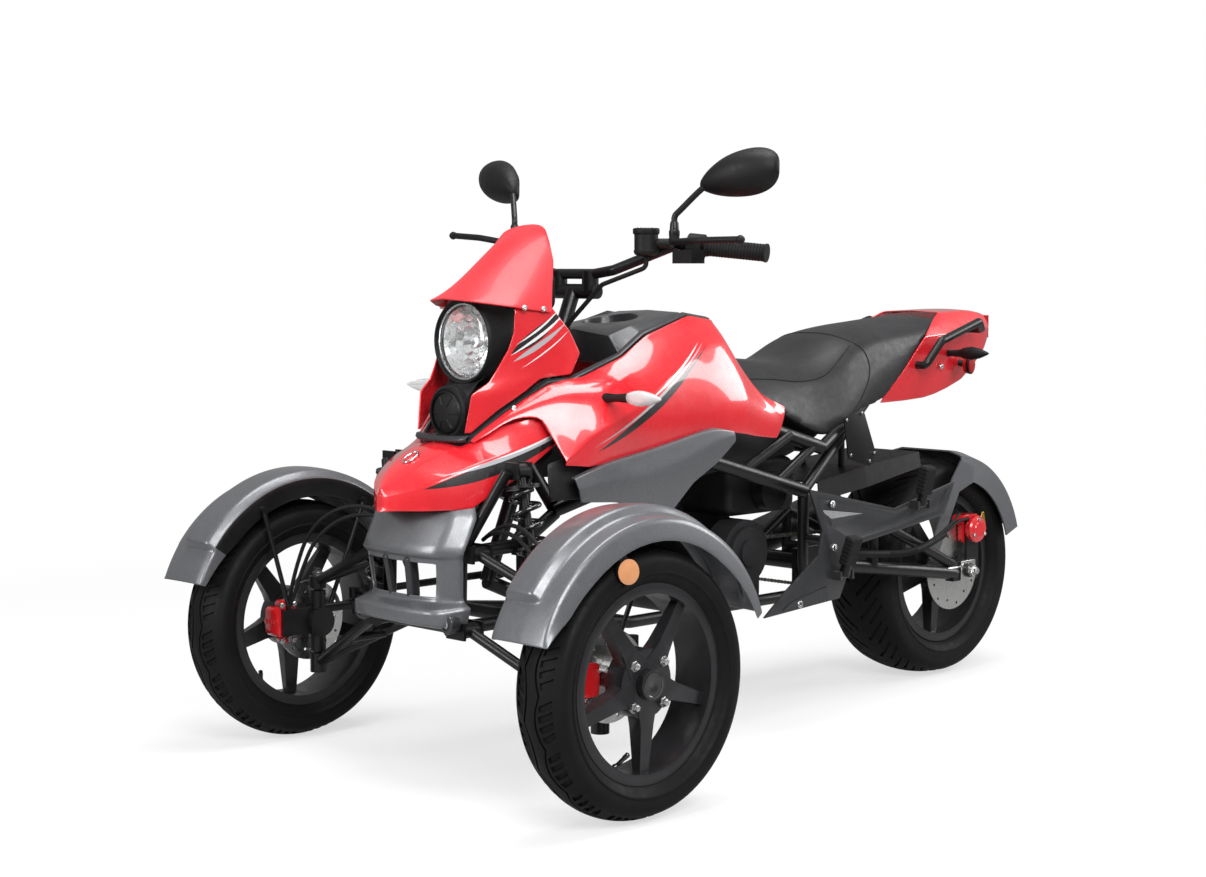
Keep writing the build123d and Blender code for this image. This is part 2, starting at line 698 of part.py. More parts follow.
# Headlamp: round housing with a lower intake cover, and a domed lens
lamp_z = 885.0
lamp_r = 88.0
intake_z = 742.0
visor_screws = ((656, 948), (700, 956))
with BuildPart() as lamp_housing:
    add(rod((640, 0, lamp_z), (738, 0, lamp_z), lamp_r))
    add(rod((720, 0, lamp_z), (748, 0, lamp_z), lamp_r - 6))
    add(rod((738, 0, lamp_z), (760, 0, lamp_z), lamp_r - 11), mode=Mode.SUBTRACT)
    add(rod((690, 0, intake_z), (800, 0, intake_z), 56))
    add(rod((795, 0, intake_z), (808, 0, intake_z), 42))
    for side in (1, -1):
        for x, z in visor_screws:
            add(rod((x, side * 50, z), (x, side * 136, z), pin_r))

lens_back = 738 + seat_gap
lens_front = 762.0
lens_r = lamp_r - 12
with BuildPart() as headlamp_lens:
    add(rod((lens_back, 0, lamp_z), (lens_front, 0, lamp_z), lens_r))
    fillet(headlamp_lens.faces().sort_by(Axis.X)[-1].edges(), lens_front - lens_back - 4)

# Headlamp cowl: a bulged wall a side, swept back from the lamp
cowl_rows = (
    # z, front x, front y, rear x, rear y, bulge
    (706, 813, 72, 800, 78, 1),
    (746, 806, 76, 752, 98, 2),
    (782, 800, 79, 694, 118, 5),
    (809, 764, 91, 660, 128, 6),
    (816, 756, 93, 594, 144, 8),
    (872, 724, 106, 562, 144, 8),
    (938, 712, 114, 628, 134, 3),
)
with BuildPart() as cowl_left:
    add(
        lofted(
            [
                (z, thick([(rx, ry), ((fx + rx) / 2, (fy + ry) / 2 + bulge), (fx, fy)], panel_wall))
                for z, fx, fy, rx, ry, bulge in cowl_rows
            ],
            level,
        )
    )
    add(rod((700, lamp_r + seat_gap, lamp_z), (700, 112, lamp_z), 8))
with BuildPart() as headlamp_cowl:
    add(pair(cowl_left.part))

# Visor: a curved shell over the lamp
visor_rows = (
    # z, side x, side y, shoulder x, shoulder y, brow x, brow y, front x
    (936, 640, 140, 716, 121, 784, 64, 806),
    (1000, 616, 123, 668, 103, 720, 55, 742),
    (1060, 592, 99, 622, 82, 658, 42, 672),
    (1102, 572, 74, 588, 58, 606, 30, 614),
    (1126, 552, 30, 560, 22, 566, 11, 569),
)
with BuildPart() as visor:
    add(
        lofted(
            [
                (
                    z,
                    thick(
                        [(sx, sy), (hx, hy), (bx, by), (fx, 0), (bx, -by), (hx, -hy), (sx, -sy)],
                        panel_wall,
                    ),
                )
                for z, sx, sy, hx, hy, bx, by, fx in visor_rows
            ],
            level,
        )
    )
    add(
        side_plate_solid([(560, 920), (560, 1010), (634, 944), (726, 952), (820, 976), (820, 920)], -200, 200),
        mode=Mode.SUBTRACT,
    )
    for x, z in visor_screws:
        add(rod((x, -200, z), (x, 200, z), pin_r + seat_gap), mode=Mode.SUBTRACT)

# Instrument pod behind the visor
with BuildPart() as instrument:
    add(block((556, -66, 948), (620, 66, 1026)))
    fillet(instrument.edges().filter_by(Axis.X), 20)
    add(block((618, -22, 948), (640 - seat_gap, 22, 966)))

# Tank top with a cup recess and filler cap
tank_rows = (
    # x, low z, edge y, edge z, shoulder y, shoulder z, crown z
    (440, 838, 138, 854, 106, 892, 904),
    (370, 832, 128, 893, 104, 912, 924),
    (210, 812, 117, 932, 92, 938, 942),
    (118, 792, 124, 846, 92, 876, 886),
)
cup_x = 330.0
trim_rows = (
    # x, y, z along the top edge of the tank covers
    (806, 74, 689),
    (736, 100, 746),
    (640, 131, 803),
    (585, 148, 808),
    (446, 146, 853),
    (366, 136, 896),
    (222, 125, 935),
    (142, 121, 924),
)
trim_in = 10.0
trim_out = 2.0
trim_depth = 6.0
with BuildPart() as tank_top:
    add(
        lofted(
            [
                (x, [(-ey, low), (-ey, ez), (-sy, sz), (0, cz), (sy, sz), (ey, ez), (ey, low)])
                for x, low, ey, ez, sy, sz, cz in tank_rows
            ],
            across,
        )
    )
    trim_left = lofted(
        [
            (x, [(y - trim_in, z + 4), (y + trim_out, z), (y + trim_out, z - trim_depth), (y - trim_in, z - trim_depth)])
            for x, y, z in trim_rows
        ],
        across,
    )
    add(pair(trim_left))
    add(rod((cup_x, 0, 888), (cup_x, 0, 960), 62), mode=Mode.SUBTRACT)
    add(rod((cup_x, 0, 880), (cup_x, 0, 908), 36))
    for side in (1, -1):
        add(rod((382, side * 107, 773.3), (382, side * 107, 846), 11))

# Tank covers: bulged side shells trimmed to their outline
cover_rows = (
    # x, then y, z pairs from the top edge to the bottom edge
    (804, (80, 693), (85, 690), (92, 684), (100, 674), (110, 660)),
    (736, (107, 742), (122, 735), (142, 718), (168, 688), (196, 640)),
    (640, (138, 798), (164, 782), (190, 752), (214, 704), (222, 628)),
    (575, (156, 803), (200, 792), (228, 768), (238, 705), (224, 606)),
    (446, (153, 848), (184, 824), (215, 784), (240, 720), (226, 612)),
    (366, (144, 890), (178, 852), (212, 800), (241, 722), (226, 615)),
    (200, (131, 930), (165, 898), (205, 842), (242, 752), (228, 632)),
    (60, (132, 884), (162, 848), (192, 802), (220, 742), (214, 640)),
    (-40, (165, 780), (180, 755), (196, 730), (214, 700), (216, 640)),
)
front_stalk_x = 556.0
front_stalk_z = 772.0
cover_outline = [
    (806, 684), (806, 760), (640, 830), (380, 920), (210, 960), (160, 930),
    (118, 850), (104, 775), (-25, 722), (18, 656), (130, 672), (250, 690), (450, 655),
    (608, 632), (673, 640), (622, 679), (600, 720), (607, 737), (730, 734),
]
with BuildPart() as cover_left:
    add(trimmed(lofted([(x, thick(pts, panel_wall)) for x, *pts in cover_rows], across), cover_outline))
    add(rod((100, 186.7, 705), (100, 221, 705), 9))
    add(rod((front_stalk_x, 150, front_stalk_z), (front_stalk_x, 270, front_stalk_z), stalk_r + seat_gap), mode=Mode.SUBTRACT)
with BuildPart() as tank_covers:
    add(pair(cover_left.part))

# Lower side shrouds
shroud_rows = (
    # x, then y, z pairs from the top edge to the bottom edge
    (665, (208, 628), (231, 600), (227, 545)),
    (420, (241, 668), (253, 610), (239, 500)),
    (180, (240, 706), (250, 668), (244, 600)),
)
shroud_outline = [
    (650, 598), (430, 640), (262, 692), (196, 682), (192, 664), (250, 622), (330, 582),
    (392, 520), (540, 556), (640, 564),
]
with BuildPart() as shroud_left:
    add(trimmed(lofted([(x, thick(pts, panel_wall)) for x, *pts in shroud_rows], across), shroud_outline))
    add(rod((262, 219.7, 629.3), (262, 248, 629.3), 8))
with BuildPart() as side_shrouds:
    add(pair(shroud_left.part))

# Front bumper: sloping brow, window frame, flared lower lip with a bolt ear a side, and chin
bumper_wall = 8.0
bumper_rows = (
    # z, rear x, rear y, front x, front y
    (546, 864, 126, 916, 46),
    (508, 874, 146, 944, 76),
    (474, 884, 150, 954, 88),
    (458, 884, 146, 946, 84),
    (396, 880, 140, 944, 80),
    (370, 868, 154, 970, 112),
    (336, 904, 136, 944, 68),
)
window_half = 68.0
window_low = 402.0
window_top = 450.0
with BuildPart() as front_bumper:
    add(
        lofted(
            [
                (z, thick([(rx, -ry), (fx, -fy), (fx, fy), (rx, ry)], -bumper_wall))
                for z, rx, ry, fx, fy in bumper_rows
            ],
            level,
        )
    )
    add(block((850, -window_half, window_low), (1000, window_half, window_top)), mode=Mode.SUBTRACT)
    for side in (1, -1):
        add(block((858 + box_tube_r + seat_gap, side * 30 - 9, 462), (944, side * 30 + 9, 478)))
        add(rod((893 + seat_gap, side * 136, 338), (914, side * 136, 338), 20))

# Seat: stepped saddle with deep side skirts
seat_rows = (
    # x, crown z, edge half width, edge z, side half width, side z, low half width, low z
    (98, 836, 74, 822, 118, 796, 150, 740),
    (-50, 830, 90, 812, 140, 784, 172, 700),
    (-170, 821, 112, 806, 160, 770, 186, 650),
    (-265, 842, 116, 826, 164, 784, 184, 640),
    (-345, 876, 120, 858, 158, 814, 172, 690),
    (-430, 890, 120, 874, 148, 838, 156, 716),
    (-600, 906, 108, 892, 136, 862, 142, 760),
    (-735, 919, 84, 908, 112, 888, 120, 846),
)
seat_outline = [
    (98, 860), (98, 772), (-30, 736), (-186, 669), (-222, 664.8), (-392, 736.8), (-478, 751), (-556, 782),
    (-632, 868), (-732, 912), (-732, 960),
]
with BuildPart() as seat:
    add(
        trimmed(
            lofted(
                [
                    (x, [(-lh, lz), (-sh, sz), (-eh, ez), (0, cz), (eh, ez), (sh, sz), (lh, lz)])
                    for x, cz, eh, ez, sh, sz, lh, lz in seat_rows
                ],
                across,
            ),
            seat_outline,
        )
    )

# Tail cowl: a tapering shell behind the seat, with holes for what it carries
rail_r = 10.0
rail_feet = (
    # x, outer y, z, run inward, rise
    (-590, 165, 798, 60, 0),
    (-842, 150, 880, 80, 0),
)
tail_rows = (
    # x, crown half width, crown z, side half width, side z, low half width, low z
    (-470, 128, 880, 152, 820, 134, 700),
    (-640, 112, 906, 142, 850, 124, 712),
    (-760, 84, 924, 124, 868, 108, 735),
    (-900, 66, 926, 92, 872, 84, 780),
    (-990, 52, 912, 66, 880, 62, 850),
)
tail_post_x = -800.0
tail_post_z = 790.0
tail_outline = [
    (-484, 716), (-560, 768), (-638, 862), (-745, 921), (-745, 960), (-1000, 960), (-1000, 850),
    (-905, 790), (-800, 745), (-640, 716),
]
with BuildPart() as tail_cowl:
    add(
        trimmed(
            lofted(
                [
                    (x, thick([(-lh, lz), (-sh, sz), (-ch, cz), (ch, cz), (sh, sz), (lh, lz)], panel_wall))
                    for x, ch, cz, sh, sz, lh, lz in tail_rows
                ],
                across,
            ),
            tail_outline,
        )
    )
    for side in (1, -1):
        for x, z, radius in ((-822, 790, pin_r), (-735, 822, stalk_r)):
            add(rod((x, side * 60, z), (x, side * 170, z), radius + seat_gap), mode=Mode.SUBTRACT)
        for x, y, z, turn_y, turn_z in rail_feet:
            foot = (x, side * y, z)
            add(rod(foot, (x, side * (y - turn_y), z + turn_z), rail_r + seat_gap), mode=Mode.SUBTRACT)
        post_low = (tail_post_x, side * 40, tail_post_z + lower_tube_r + seat_gap)
        add(rod(post_low, (tail_post_x, side * 40, 922), 8))

with BuildPart() as tail_lamp:
    add(block((-1004, -58, 853), (-990 - seat_gap, 58, 911)))
    for side in (1, -1):
        add(rod((-822, side * 124, 790), (-822, side * 132, 790), 22))
        add(rod((-822, side * 92, 790), (-822, side * 126, 790), pin_r))

# Grab rails: each a tube with its two feet in the tail cowl
with BuildPart() as grab_rails:
    for side in (1, -1):
        (front_x, front_y, front_z, front_run, _), (back_x, back_y, back_z, back_run, _) = rail_feet
        add(
            bent_tube(
                [
                    (front_x, side * (front_y - front_run + 10), front_z),
                    (front_x, side * (front_y + 2), front_z),
                    (-640, side * 176, 856),
                    (-800, side * 172, 900),
                    (back_x, side * back_y, back_z),
                    (back_x, side * (back_y - back_run + 20), back_z),
                ],
                rail_r,
                12,
            )
        )

# Indicators: a stalk and a tapered lamp body at each corner
indicator_rows = (
    # x root, y root, x tip, y tip, z, body radius, body length
    (front_stalk_x, 180, 577, 389, front_stalk_z, 14, 108),
    (-735, 90, -727, 250, 822, 15, 88),
)
with BuildPart() as indicators:
    for side in (1, -1):
        for x_root, y_root, x_tip, y_tip, z, body_r, body_length in indicator_rows:
            y_body = y_tip - body_length
            add(rod((x_root, side * y_root, z), (x_root, side * (y_body + 6), z), stalk_r))
            with BuildPart(mode=Mode.PRIVATE) as body:
                add(rod((x_root, side * y_body, z), (x_tip, side * y_tip, z + 4), body_r))
                fillet(body.edges(), body_r - 2)
            add(body.part)

# Blank plate beside the seat rail
plate_outline = [(-302, 708), (-232, 690), (-250, 594), (-330, 572), (-352, 600)]
with BuildPart() as side_plate:
    add(side_plate_solid(plate_outline, 200, 203))
    add(rod((-300, 175.2, 681.6), (-300, 201, 681.6), 7))

# Foot panels, standing off the frame on a post, with an ear each side of a folding peg
peg_rows = (
    # name, hinge x, hinge y, hinge z, lean y
    ("rider", -125, 292, 345, 30),
    ("passenger", -410, 292, 482, 20),
)
foot_outline = [
    (-20, 545), (-330, 478), (-400, 492), (-560, 524), (-520, 448), (-330, 424), (-176, 405),
    (-150, 330), (-128, 290), (130, 274), (60, 324), (-50, 392), (-66, 450),
]
foot_recess = [(-330, 466), (-52, 524), (-84, 462), (-178, 418), (-330, 436), (-500, 462), (-530, 508), (-400, 480)]
foot_y = 278.0
with BuildPart() as foot_left:
    add(side_plate_solid(foot_outline, foot_y - panel_wall - 2, foot_y))
    add(side_plate_solid(foot_recess, foot_y - 2, foot_y + 1), mode=Mode.SUBTRACT)
    add(rod((-114.5, 195.6, 420), (-114.5, 273, 420), 10))
    for _, x, y, z, _ in peg_rows:
        for face in (18 + seat_gap, -18 - seat_gap - 6):
            add(block((x + face, 275, z - 10), (x + face + 6, y + 10, z + 10)))
with BuildPart() as foot_panels:
    add(pair(foot_left.part))

# Folding pegs: an eye on a pin and a ribbed bar, folded up
peg_length = 88.0
pegs = {}
for name, x, y, z, lean in peg_rows:
    with BuildPart() as peg:
        add(rod((x - 18, y, z), (x + 18, y, z), 8))
        add(rod((x, y, z), (x, y + lean, z + peg_length), 12))
    pegs[name] = peg

# Handlebar on its stem, with the pitman plate at the foot
grip_in_x, grip_in_y, grip_in_z = 356.0, 228.0, 1084.0
grip_out_x, grip_out_y, grip_out_z = 282.0, 400.0, 1066.0
bar_centre_z = 1022.0
with BuildPart() as handlebar:
    half_bar = [
        (436, 60, bar_centre_z),
        (426, 108, bar_centre_z + 8),
        (grip_in_x, grip_in_y, grip_in_z),
        (grip_out_x, grip_out_y, grip_out_z),
    ]
    add(bent_tube([(x, -y, z) for x, y, z in half_bar[::-1]] + half_bar, bar_r, 22))
    add(rod(stem_low, stem_top, stem_r))
    add(rod((436, -70, 985), (436, 70, 985), 16))
    for side in (1, -1):
        add(rod((436, side * 48, 985), (436, side * 48, bar_centre_z + 6), 18))
    add(rod(stem_low, (622, 0, 356), 16))
    add(rod((626, -34, 358), (626, 34, 358), 10))

with BuildPart() as grips:
    for side in (1, -1):
        grip_in = Vector(grip_in_x, side * grip_in_y, grip_in_z)
        grip_out = Vector(grip_out_x, side * grip_out_y, grip_out_z)
        run = (grip_out - grip_in).normalized()
        add(rod(tuple(grip_in + run * 62), tuple(grip_out + run * 6), 17))
        add(rod(tuple(grip_in + run * 50), tuple(grip_out), bar_r + seat_gap), mode=Mode.SUBTRACT)

mirror_root = (385.0, 245.0, 1104.0)
reservoir_x, reservoir_y, reservoir_z = 414.0, 192.0, 1066.0
lever_root = (392.0, 246.0, 1088.0)
lever_rows = (
    # side, rise of the lever's tip
    (1, 4.0),
    (-1, 20.0),
)
with BuildPart() as bar_controls:
    for side, lever_rise in lever_rows:
        grip_in = Vector(grip_in_x, side * grip_in_y, grip_in_z)
        grip_out = Vector(grip_out_x, side * grip_out_y, grip_out_z)
        run = (grip_out - grip_in).normalized()
        add(rod(tuple(grip_in + run * 26), tuple(grip_in + run * 58), 26))
        lever_x, lever_y, lever_z = lever_root
        add(
            bent_tube(
                [
                    (lever_x, side * lever_y, lever_z),
                    (lever_x + 22, side * 330, lever_z + lever_rise * 0.7),
                    (lever_x + 6, side * 438, lever_z + lever_rise),
                ],
                7,
                60,
            )
        )
        add(rod((362, side * lever_y, lever_z - 6), (lever_x + 2, side * (lever_y + 2), lever_z), 11))
        add(rod((reservoir_x, side * reservoir_y, reservoir_z), (reservoir_x, side * reservoir_y, reservoir_z + 44), 25))
        mirror_foot = (mirror_root[0], side * mirror_root[1], mirror_root[2] - 24)
        add(rod(mirror_foot, (mirror_root[0], side * mirror_root[1], mirror_root[2] - seat_gap), 11))
        add(rod((374, side * 250, 1086), (reservoir_x, side * reservoir_y, reservoir_z + 20), 10))
        add(block((352, min(side * 246, side * 300), 1044), (392, max(side * 246, side * 300), 1072)))
        bar_run = [(x, side * y, z) for x, y, z in half_bar]
        add(bent_tube(bar_run, bar_r + seat_gap, 22), mode=Mode.SUBTRACT)

# Mirrors: a teardrop housing on a bent stem
mirror_rows = (
    # y, middle x, half depth, middle z, half height
    (284, 344, 9, 1205, 10),
    (322, 331, 24, 1221, 36),
    (376, 318, 28, 1231, 46),
    (428, 305, 22, 1237, 38),
    (449, 299, 9, 1240, 16),
)


def teardrop_section(x, half_depth, z, half_height):
    """An eight-sided section of a mirror housing."""
    corner = 0.55
    return [
        (x + half_depth * a, z + half_height * b)
        for a, b in (
            (1, corner), (corner, 1), (-corner, 1), (-1, corner), (-1, -corner), (-corner, -1), (corner, -1), (1, -corner),
        )
    ]


def lengthwise(y):
    """The upright plane along the vehicle at a distance to the left."""
    return Plane.XZ.offset(-y)


with BuildPart() as mirror_left:
    stem_x, stem_y, stem_z = mirror_root
    add(bent_tube([mirror_root, (stem_x, stem_y, stem_z + 40), (350, 288, 1196), (338, 306, 1212)], 7, 16))
    add(lofted([(y, teardrop_section(x, depth, z, height)) for y, x, depth, z, height in mirror_rows], lengthwise))
with BuildPart() as mirrors:
    add(pair(mirror_left.part))

# Control cables held along the stem
with BuildPart() as control_cables:
    for side in (1, -1):
        add(bent_tube(
                [
                    (reservoir_x, side * reservoir_y, reservoir_z - seat_gap),
                    (reservoir_x, side * reservoir_y, 1036),
                    (462, side * 110, 1000),
                    (498, side * 23, 900),
                    (520, side * 23, 847),
                ],
                5,
                14,
            )
        )

solids = {
    "tyre_front_left": tyre_front_left,
    "tyre_front_right": tyre_front_right,
    "tyre_rear": tyre_rear,
    "rim_front_left": rim_front_left,
    "rim_front_right": rim_front_right,
    "rim_rear": rim_rear,
    "disc_front_left": disc_front_left,
    "disc_front_right": disc_front_right,
    "disc_rear": disc_rear,
    "knuckle_left": knuckle_left,
    "knuckle_right": knuckle_right,
    "caliper_front_left": caliper_front_left,
    "caliper_front_right": caliper_front_right,
    "fender_front_left": fender_front_left,
    "fender_front_right": fender_front_right,
    "tie_rod_left": tie_rod_left,
    "tie_rod_right": tie_rod_right,
    "control_arms": control_arms,
    "shock_dampers": shock_dampers,
    "shock_springs": shock_springs,
    "frame": frame,
    "engine": engine,
    "airbox": airbox,
    "exhaust": exhaust,
    "chain": chain,
    "swingarm": swingarm,
    "rear_caliper": rear_caliper,
    "rear_fender": rear_fender,
    "rear_hugger": rear_hugger,
    "nose_cowl": nose_cowl,
    "lamp_housing": lamp_housing,
    "headlamp_lens": headlamp_lens,
    "headlamp_cowl": headlamp_cowl,
    "visor": visor,
    "instrument": instrument,
    "tank_top": tank_top,
    "tank_covers": tank_covers,
    "side_shrouds": side_shrouds,
    "front_bumper": front_bumper,
    "seat": seat,
    "tail_cowl": tail_cowl,
    "tail_lamp": tail_lamp,
    "grab_rails": grab_rails,
    "indicators": indicators,
    "side_plate": side_plate,
    "foot_panels": foot_panels,
    "peg_rider_left": pegs["rider"],
    "peg_rider_right": other_side(pegs["rider"]),
    "peg_passenger_left": pegs["passenger"],
    "peg_passenger_right": other_side(pegs["passenger"]),
    "handlebar": handlebar,
    "grips": grips,
    "bar_controls": bar_controls,
    "mirrors": mirrors,
    "control_cables": control_cables,
}
for label, solid in solids.items():
    solid.part.label = label
    export_step(solid.part, f"parts/{label}.step")
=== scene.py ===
# %% [markdown]
# A motor trike with two steered wheels in front and one driven wheel behind. The solids come from the
# part's source and are only dressed here: they keep their places, and each visible piece gets a finish or a
# finer mesh. Lengths are in metres: X runs forward, Y to the rider's left and Z up, with the floor at zero.

from math import atan2, cos, hypot, pi, radians, sin, sqrt

import bmesh
import bpy
import numpy as np
from mathutils import Matrix, Vector


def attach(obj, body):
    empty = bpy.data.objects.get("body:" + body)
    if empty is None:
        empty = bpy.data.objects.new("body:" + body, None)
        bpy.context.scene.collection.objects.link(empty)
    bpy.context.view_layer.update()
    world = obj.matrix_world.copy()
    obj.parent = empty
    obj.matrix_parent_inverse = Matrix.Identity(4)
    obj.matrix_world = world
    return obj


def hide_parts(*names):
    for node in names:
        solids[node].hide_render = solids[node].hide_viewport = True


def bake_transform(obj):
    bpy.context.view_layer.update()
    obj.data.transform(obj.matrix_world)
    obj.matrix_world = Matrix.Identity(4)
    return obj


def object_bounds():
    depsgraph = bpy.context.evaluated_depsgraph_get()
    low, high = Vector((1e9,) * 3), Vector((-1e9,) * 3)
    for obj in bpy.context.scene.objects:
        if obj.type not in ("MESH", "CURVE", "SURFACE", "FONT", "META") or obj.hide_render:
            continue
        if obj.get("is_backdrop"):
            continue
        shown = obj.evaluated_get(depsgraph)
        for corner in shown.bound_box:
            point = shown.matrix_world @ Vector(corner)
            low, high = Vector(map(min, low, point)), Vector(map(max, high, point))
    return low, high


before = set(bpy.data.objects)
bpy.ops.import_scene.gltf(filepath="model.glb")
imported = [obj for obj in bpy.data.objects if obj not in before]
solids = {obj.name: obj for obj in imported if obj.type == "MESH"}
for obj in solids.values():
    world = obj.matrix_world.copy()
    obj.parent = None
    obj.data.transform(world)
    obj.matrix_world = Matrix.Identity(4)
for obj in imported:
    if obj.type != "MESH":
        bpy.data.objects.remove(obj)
cad_low, cad_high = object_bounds()
print("solids:", len(solids), "box:", [round(b - a, 3) for a, b in zip(cad_low, cad_high)])

# %% [markdown]
# The photograph was taken from the front left, a little above the seat, with a long lens. A camera could be
# aimed by eye, but its place was worked out from the three tyres, so the outlines can be compared closely.
# The camera's own axes are written into its matrix: right, up and backward.

# %% Camera
camera_place = Vector((3.639, 3.3105, 1.0414))
camera_look = Vector((-0.7025, -0.7071, -0.0807)).normalized()
camera_right = camera_look.cross(Vector((0, 0, 1))).normalized()
camera_up = camera_right.cross(camera_look)
photo_camera = bpy.data.objects.new("photo_camera", bpy.data.cameras.new("photo_camera"))
bpy.context.scene.collection.objects.link(photo_camera)
photo_camera.matrix_world = Matrix.Translation(camera_place) @ Matrix(
    (camera_right, camera_up, -camera_look)
).transposed().to_4x4()
photo_camera.data.sensor_fit = "HORIZONTAL"
photo_camera.data.sensor_width = 36.0
photo_camera.data.lens = 64.05
photo_camera.data.clip_end = 200.0
bpy.context.scene.camera = photo_camera
bpy.context.scene.view_settings.view_transform = "Standard"
print("camera", [round(v, 3) for v in camera_place])

# %% [markdown]
# A node tree is easier to read when a node and its inputs are made in one line. The first helper fills a
# node's inputs: a socket is linked, and any other value is written in. The second adds a node, sets its
# options and fills it. The third is for the many small sums, and gives the answer's socket.


# %% Helpers that add nodes
def feed(tree, node, inputs):
    for key, value in inputs.items():
        if isinstance(value, bpy.types.NodeSocket):
            tree.links.new(value, node.inputs[key])
        else:
            node.inputs[key].default_value = value


def put(tree, kind, inputs=None, **options):
    node = tree.nodes.new(kind)
    for option, value in options.items():
        setattr(node, option, value)
    feed(tree, node, inputs or {})
    return node


def calc(tree, operation, *values):
    return put(tree, "ShaderNodeMath", dict(enumerate(values)), operation=operation).outputs[0]


# %% [markdown]
# The studio is a white room. The world looks white to the camera and through glass, and lights the part
# only gently, so that soft boxes can shape it. The floor is partly lit and partly self-lit: near the part
# it keeps the shadow of the tyres, and further out it fades to plain white, so that no horizon shows. It
# glows fully only for the camera, because a glowing floor would light the undersides that ought to be dark.

# %% White room and floor
white = (1, 1, 1, 1)
paper_white = (0.86, 0.86, 0.86, 1)
ambient_strength = 0.34
unseen_glow = 0.22  # how strongly the floor glows for every ray but the camera's
shadow_near, shadow_far = 1.3, 3.4  # the floor fades to plain white between these distances
glow_near = 0.62  # share of the glow beside the part
floor_reach = 60.0

world = bpy.data.worlds.new("white_room")
bpy.context.scene.world = world
world.use_nodes = True
sky = world.node_tree
sky.nodes.clear()
seen_as = put(sky, "ShaderNodeLightPath").outputs
direct_view = calc(sky, "MAXIMUM", seen_as["Is Camera Ray"], seen_as["Is Transmission Ray"])
ambient = put(sky, "ShaderNodeBackground", {"Color": white, "Strength": ambient_strength})
backdrop = put(sky, "ShaderNodeBackground", {"Color": white, "Strength": 1.0})
room = put(sky, "ShaderNodeMixShader", {0: direct_view, 1: ambient.outputs[0], 2: backdrop.outputs[0]})
put(sky, "ShaderNodeOutputWorld", {0: room.outputs[0]})

floor_mesh = bpy.data.meshes.new("studio_floor")
floor_corners = [(floor_reach * x, floor_reach * y, 0) for x, y in ((-1, -1), (1, -1), (1, 1), (-1, 1))]
floor_mesh.from_pydata(floor_corners, [], [(0, 1, 2, 3)])
studio_floor = bpy.data.objects.new("studio_floor", floor_mesh)
bpy.context.scene.collection.objects.link(studio_floor)
floor_finish = bpy.data.materials.new("studio_paper")
floor_finish.use_nodes = True
paper = floor_finish.node_tree
paper.nodes.clear()
lit = put(paper, "ShaderNodeBsdfDiffuse", {"Color": paper_white})
by_camera = put(paper, "ShaderNodeLightPath").outputs["Is Camera Ray"]
glow_power = put(paper, "ShaderNodeMapRange", {"Value": by_camera, "To Min": unseen_glow, "To Max": 1.0})
glow = put(paper, "ShaderNodeEmission", {"Color": white, "Strength": glow_power.outputs[0]})
floor_spot = put(paper, "ShaderNodeNewGeometry").outputs["Position"]
from_part = put(paper, "ShaderNodeVectorMath", {0: floor_spot}, operation="LENGTH").outputs["Value"]
fade_range = {"From Min": shadow_near, "From Max": shadow_far, "To Min": glow_near, "To Max": 1.0}
fade = put(paper, "ShaderNodeMapRange", {"Value": from_part, **fade_range})
paper_mix = put(paper, "ShaderNodeMixShader", {0: fade.outputs[0], 1: lit.outputs[0], 2: glow.outputs[0]})
put(paper, "ShaderNodeOutputMaterial", {0: paper_mix.outputs[0]})
floor_mesh.materials.append(floor_finish)
studio_floor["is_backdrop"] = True

# %% [markdown]
# A glossy panel shows the lamps as well as being lit by them, so large area lamps are used in place of
# points: their reflections are the broad white shapes on the nose and the tank. The strongest stands at the
# front left, and the one behind draws the edge of the tail.

# %% Soft boxes
soft_boxes = (
    # name, place, aim, width, height, watts
    ("key_box", (2.6, 4.2, 3.6), (0.1, 0.0, 0.5), 3.0, 2.2, 250),
    ("front_box", (5.2, -0.8, 2.0), (0.3, 0.0, 0.5), 1.6, 2.4, 120),
    ("top_box", (0.0, 0.4, 4.4), (0.0, 0.0, 0.0), 3.2, 2.0, 150),
    ("back_box", (-4.0, 2.0, 2.4), (-0.4, 0.0, 0.6), 2.0, 2.0, 90),
)
for box_name, place, aim, width, height, watts in soft_boxes:
    lamp = bpy.data.lights.new(box_name, "AREA")
    lamp.shape = "RECTANGLE"
    lamp.size, lamp.size_y = width, height
    lamp.energy = watts
    box = bpy.data.objects.new(box_name, lamp)
    bpy.context.scene.collection.objects.link(box)
    box.location = place
    box.rotation_euler = (Vector(aim) - Vector(place)).to_track_quat("-Z", "Y").to_euler()
    box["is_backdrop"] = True
print("soft boxes:", len(soft_boxes))

# %% [markdown]
# Every finish starts from the same few lines: a new material with its Principled shader, the place of a
# point on the part, and a height that is turned into bump. Painted and moulded surfaces are never one flat
# colour, so a slow noise shifts the colour and a finer one shifts the roughness.


# %% The beginnings of a finish
def new_finish(name):
    finish = bpy.data.materials.new(name)
    finish.use_nodes = True
    tree = finish.node_tree
    shader = tree.nodes["Principled BSDF"]
    spot = put(tree, "ShaderNodeTexCoord").outputs["Object"]
    return finish, tree, shader, spot


def cloudy(tree, spot, scale, low, high):
    noise = put(tree, "ShaderNodeTexNoise", {"Vector": spot, "Scale": scale, "Detail": 3.0})
    spread = {"From Min": 0.3, "From Max": 0.7, "To Min": low, "To Max": high}
    return put(tree, "ShaderNodeMapRange", {"Value": noise.outputs["Fac"], **spread}).outputs[0]


def two_tone(tree, amount, dark, light):
    mix = put(tree, "ShaderNodeMix", {0: amount, 6: (*dark, 1), 7: (*light, 1)}, data_type="RGBA")
    return mix.outputs[2]


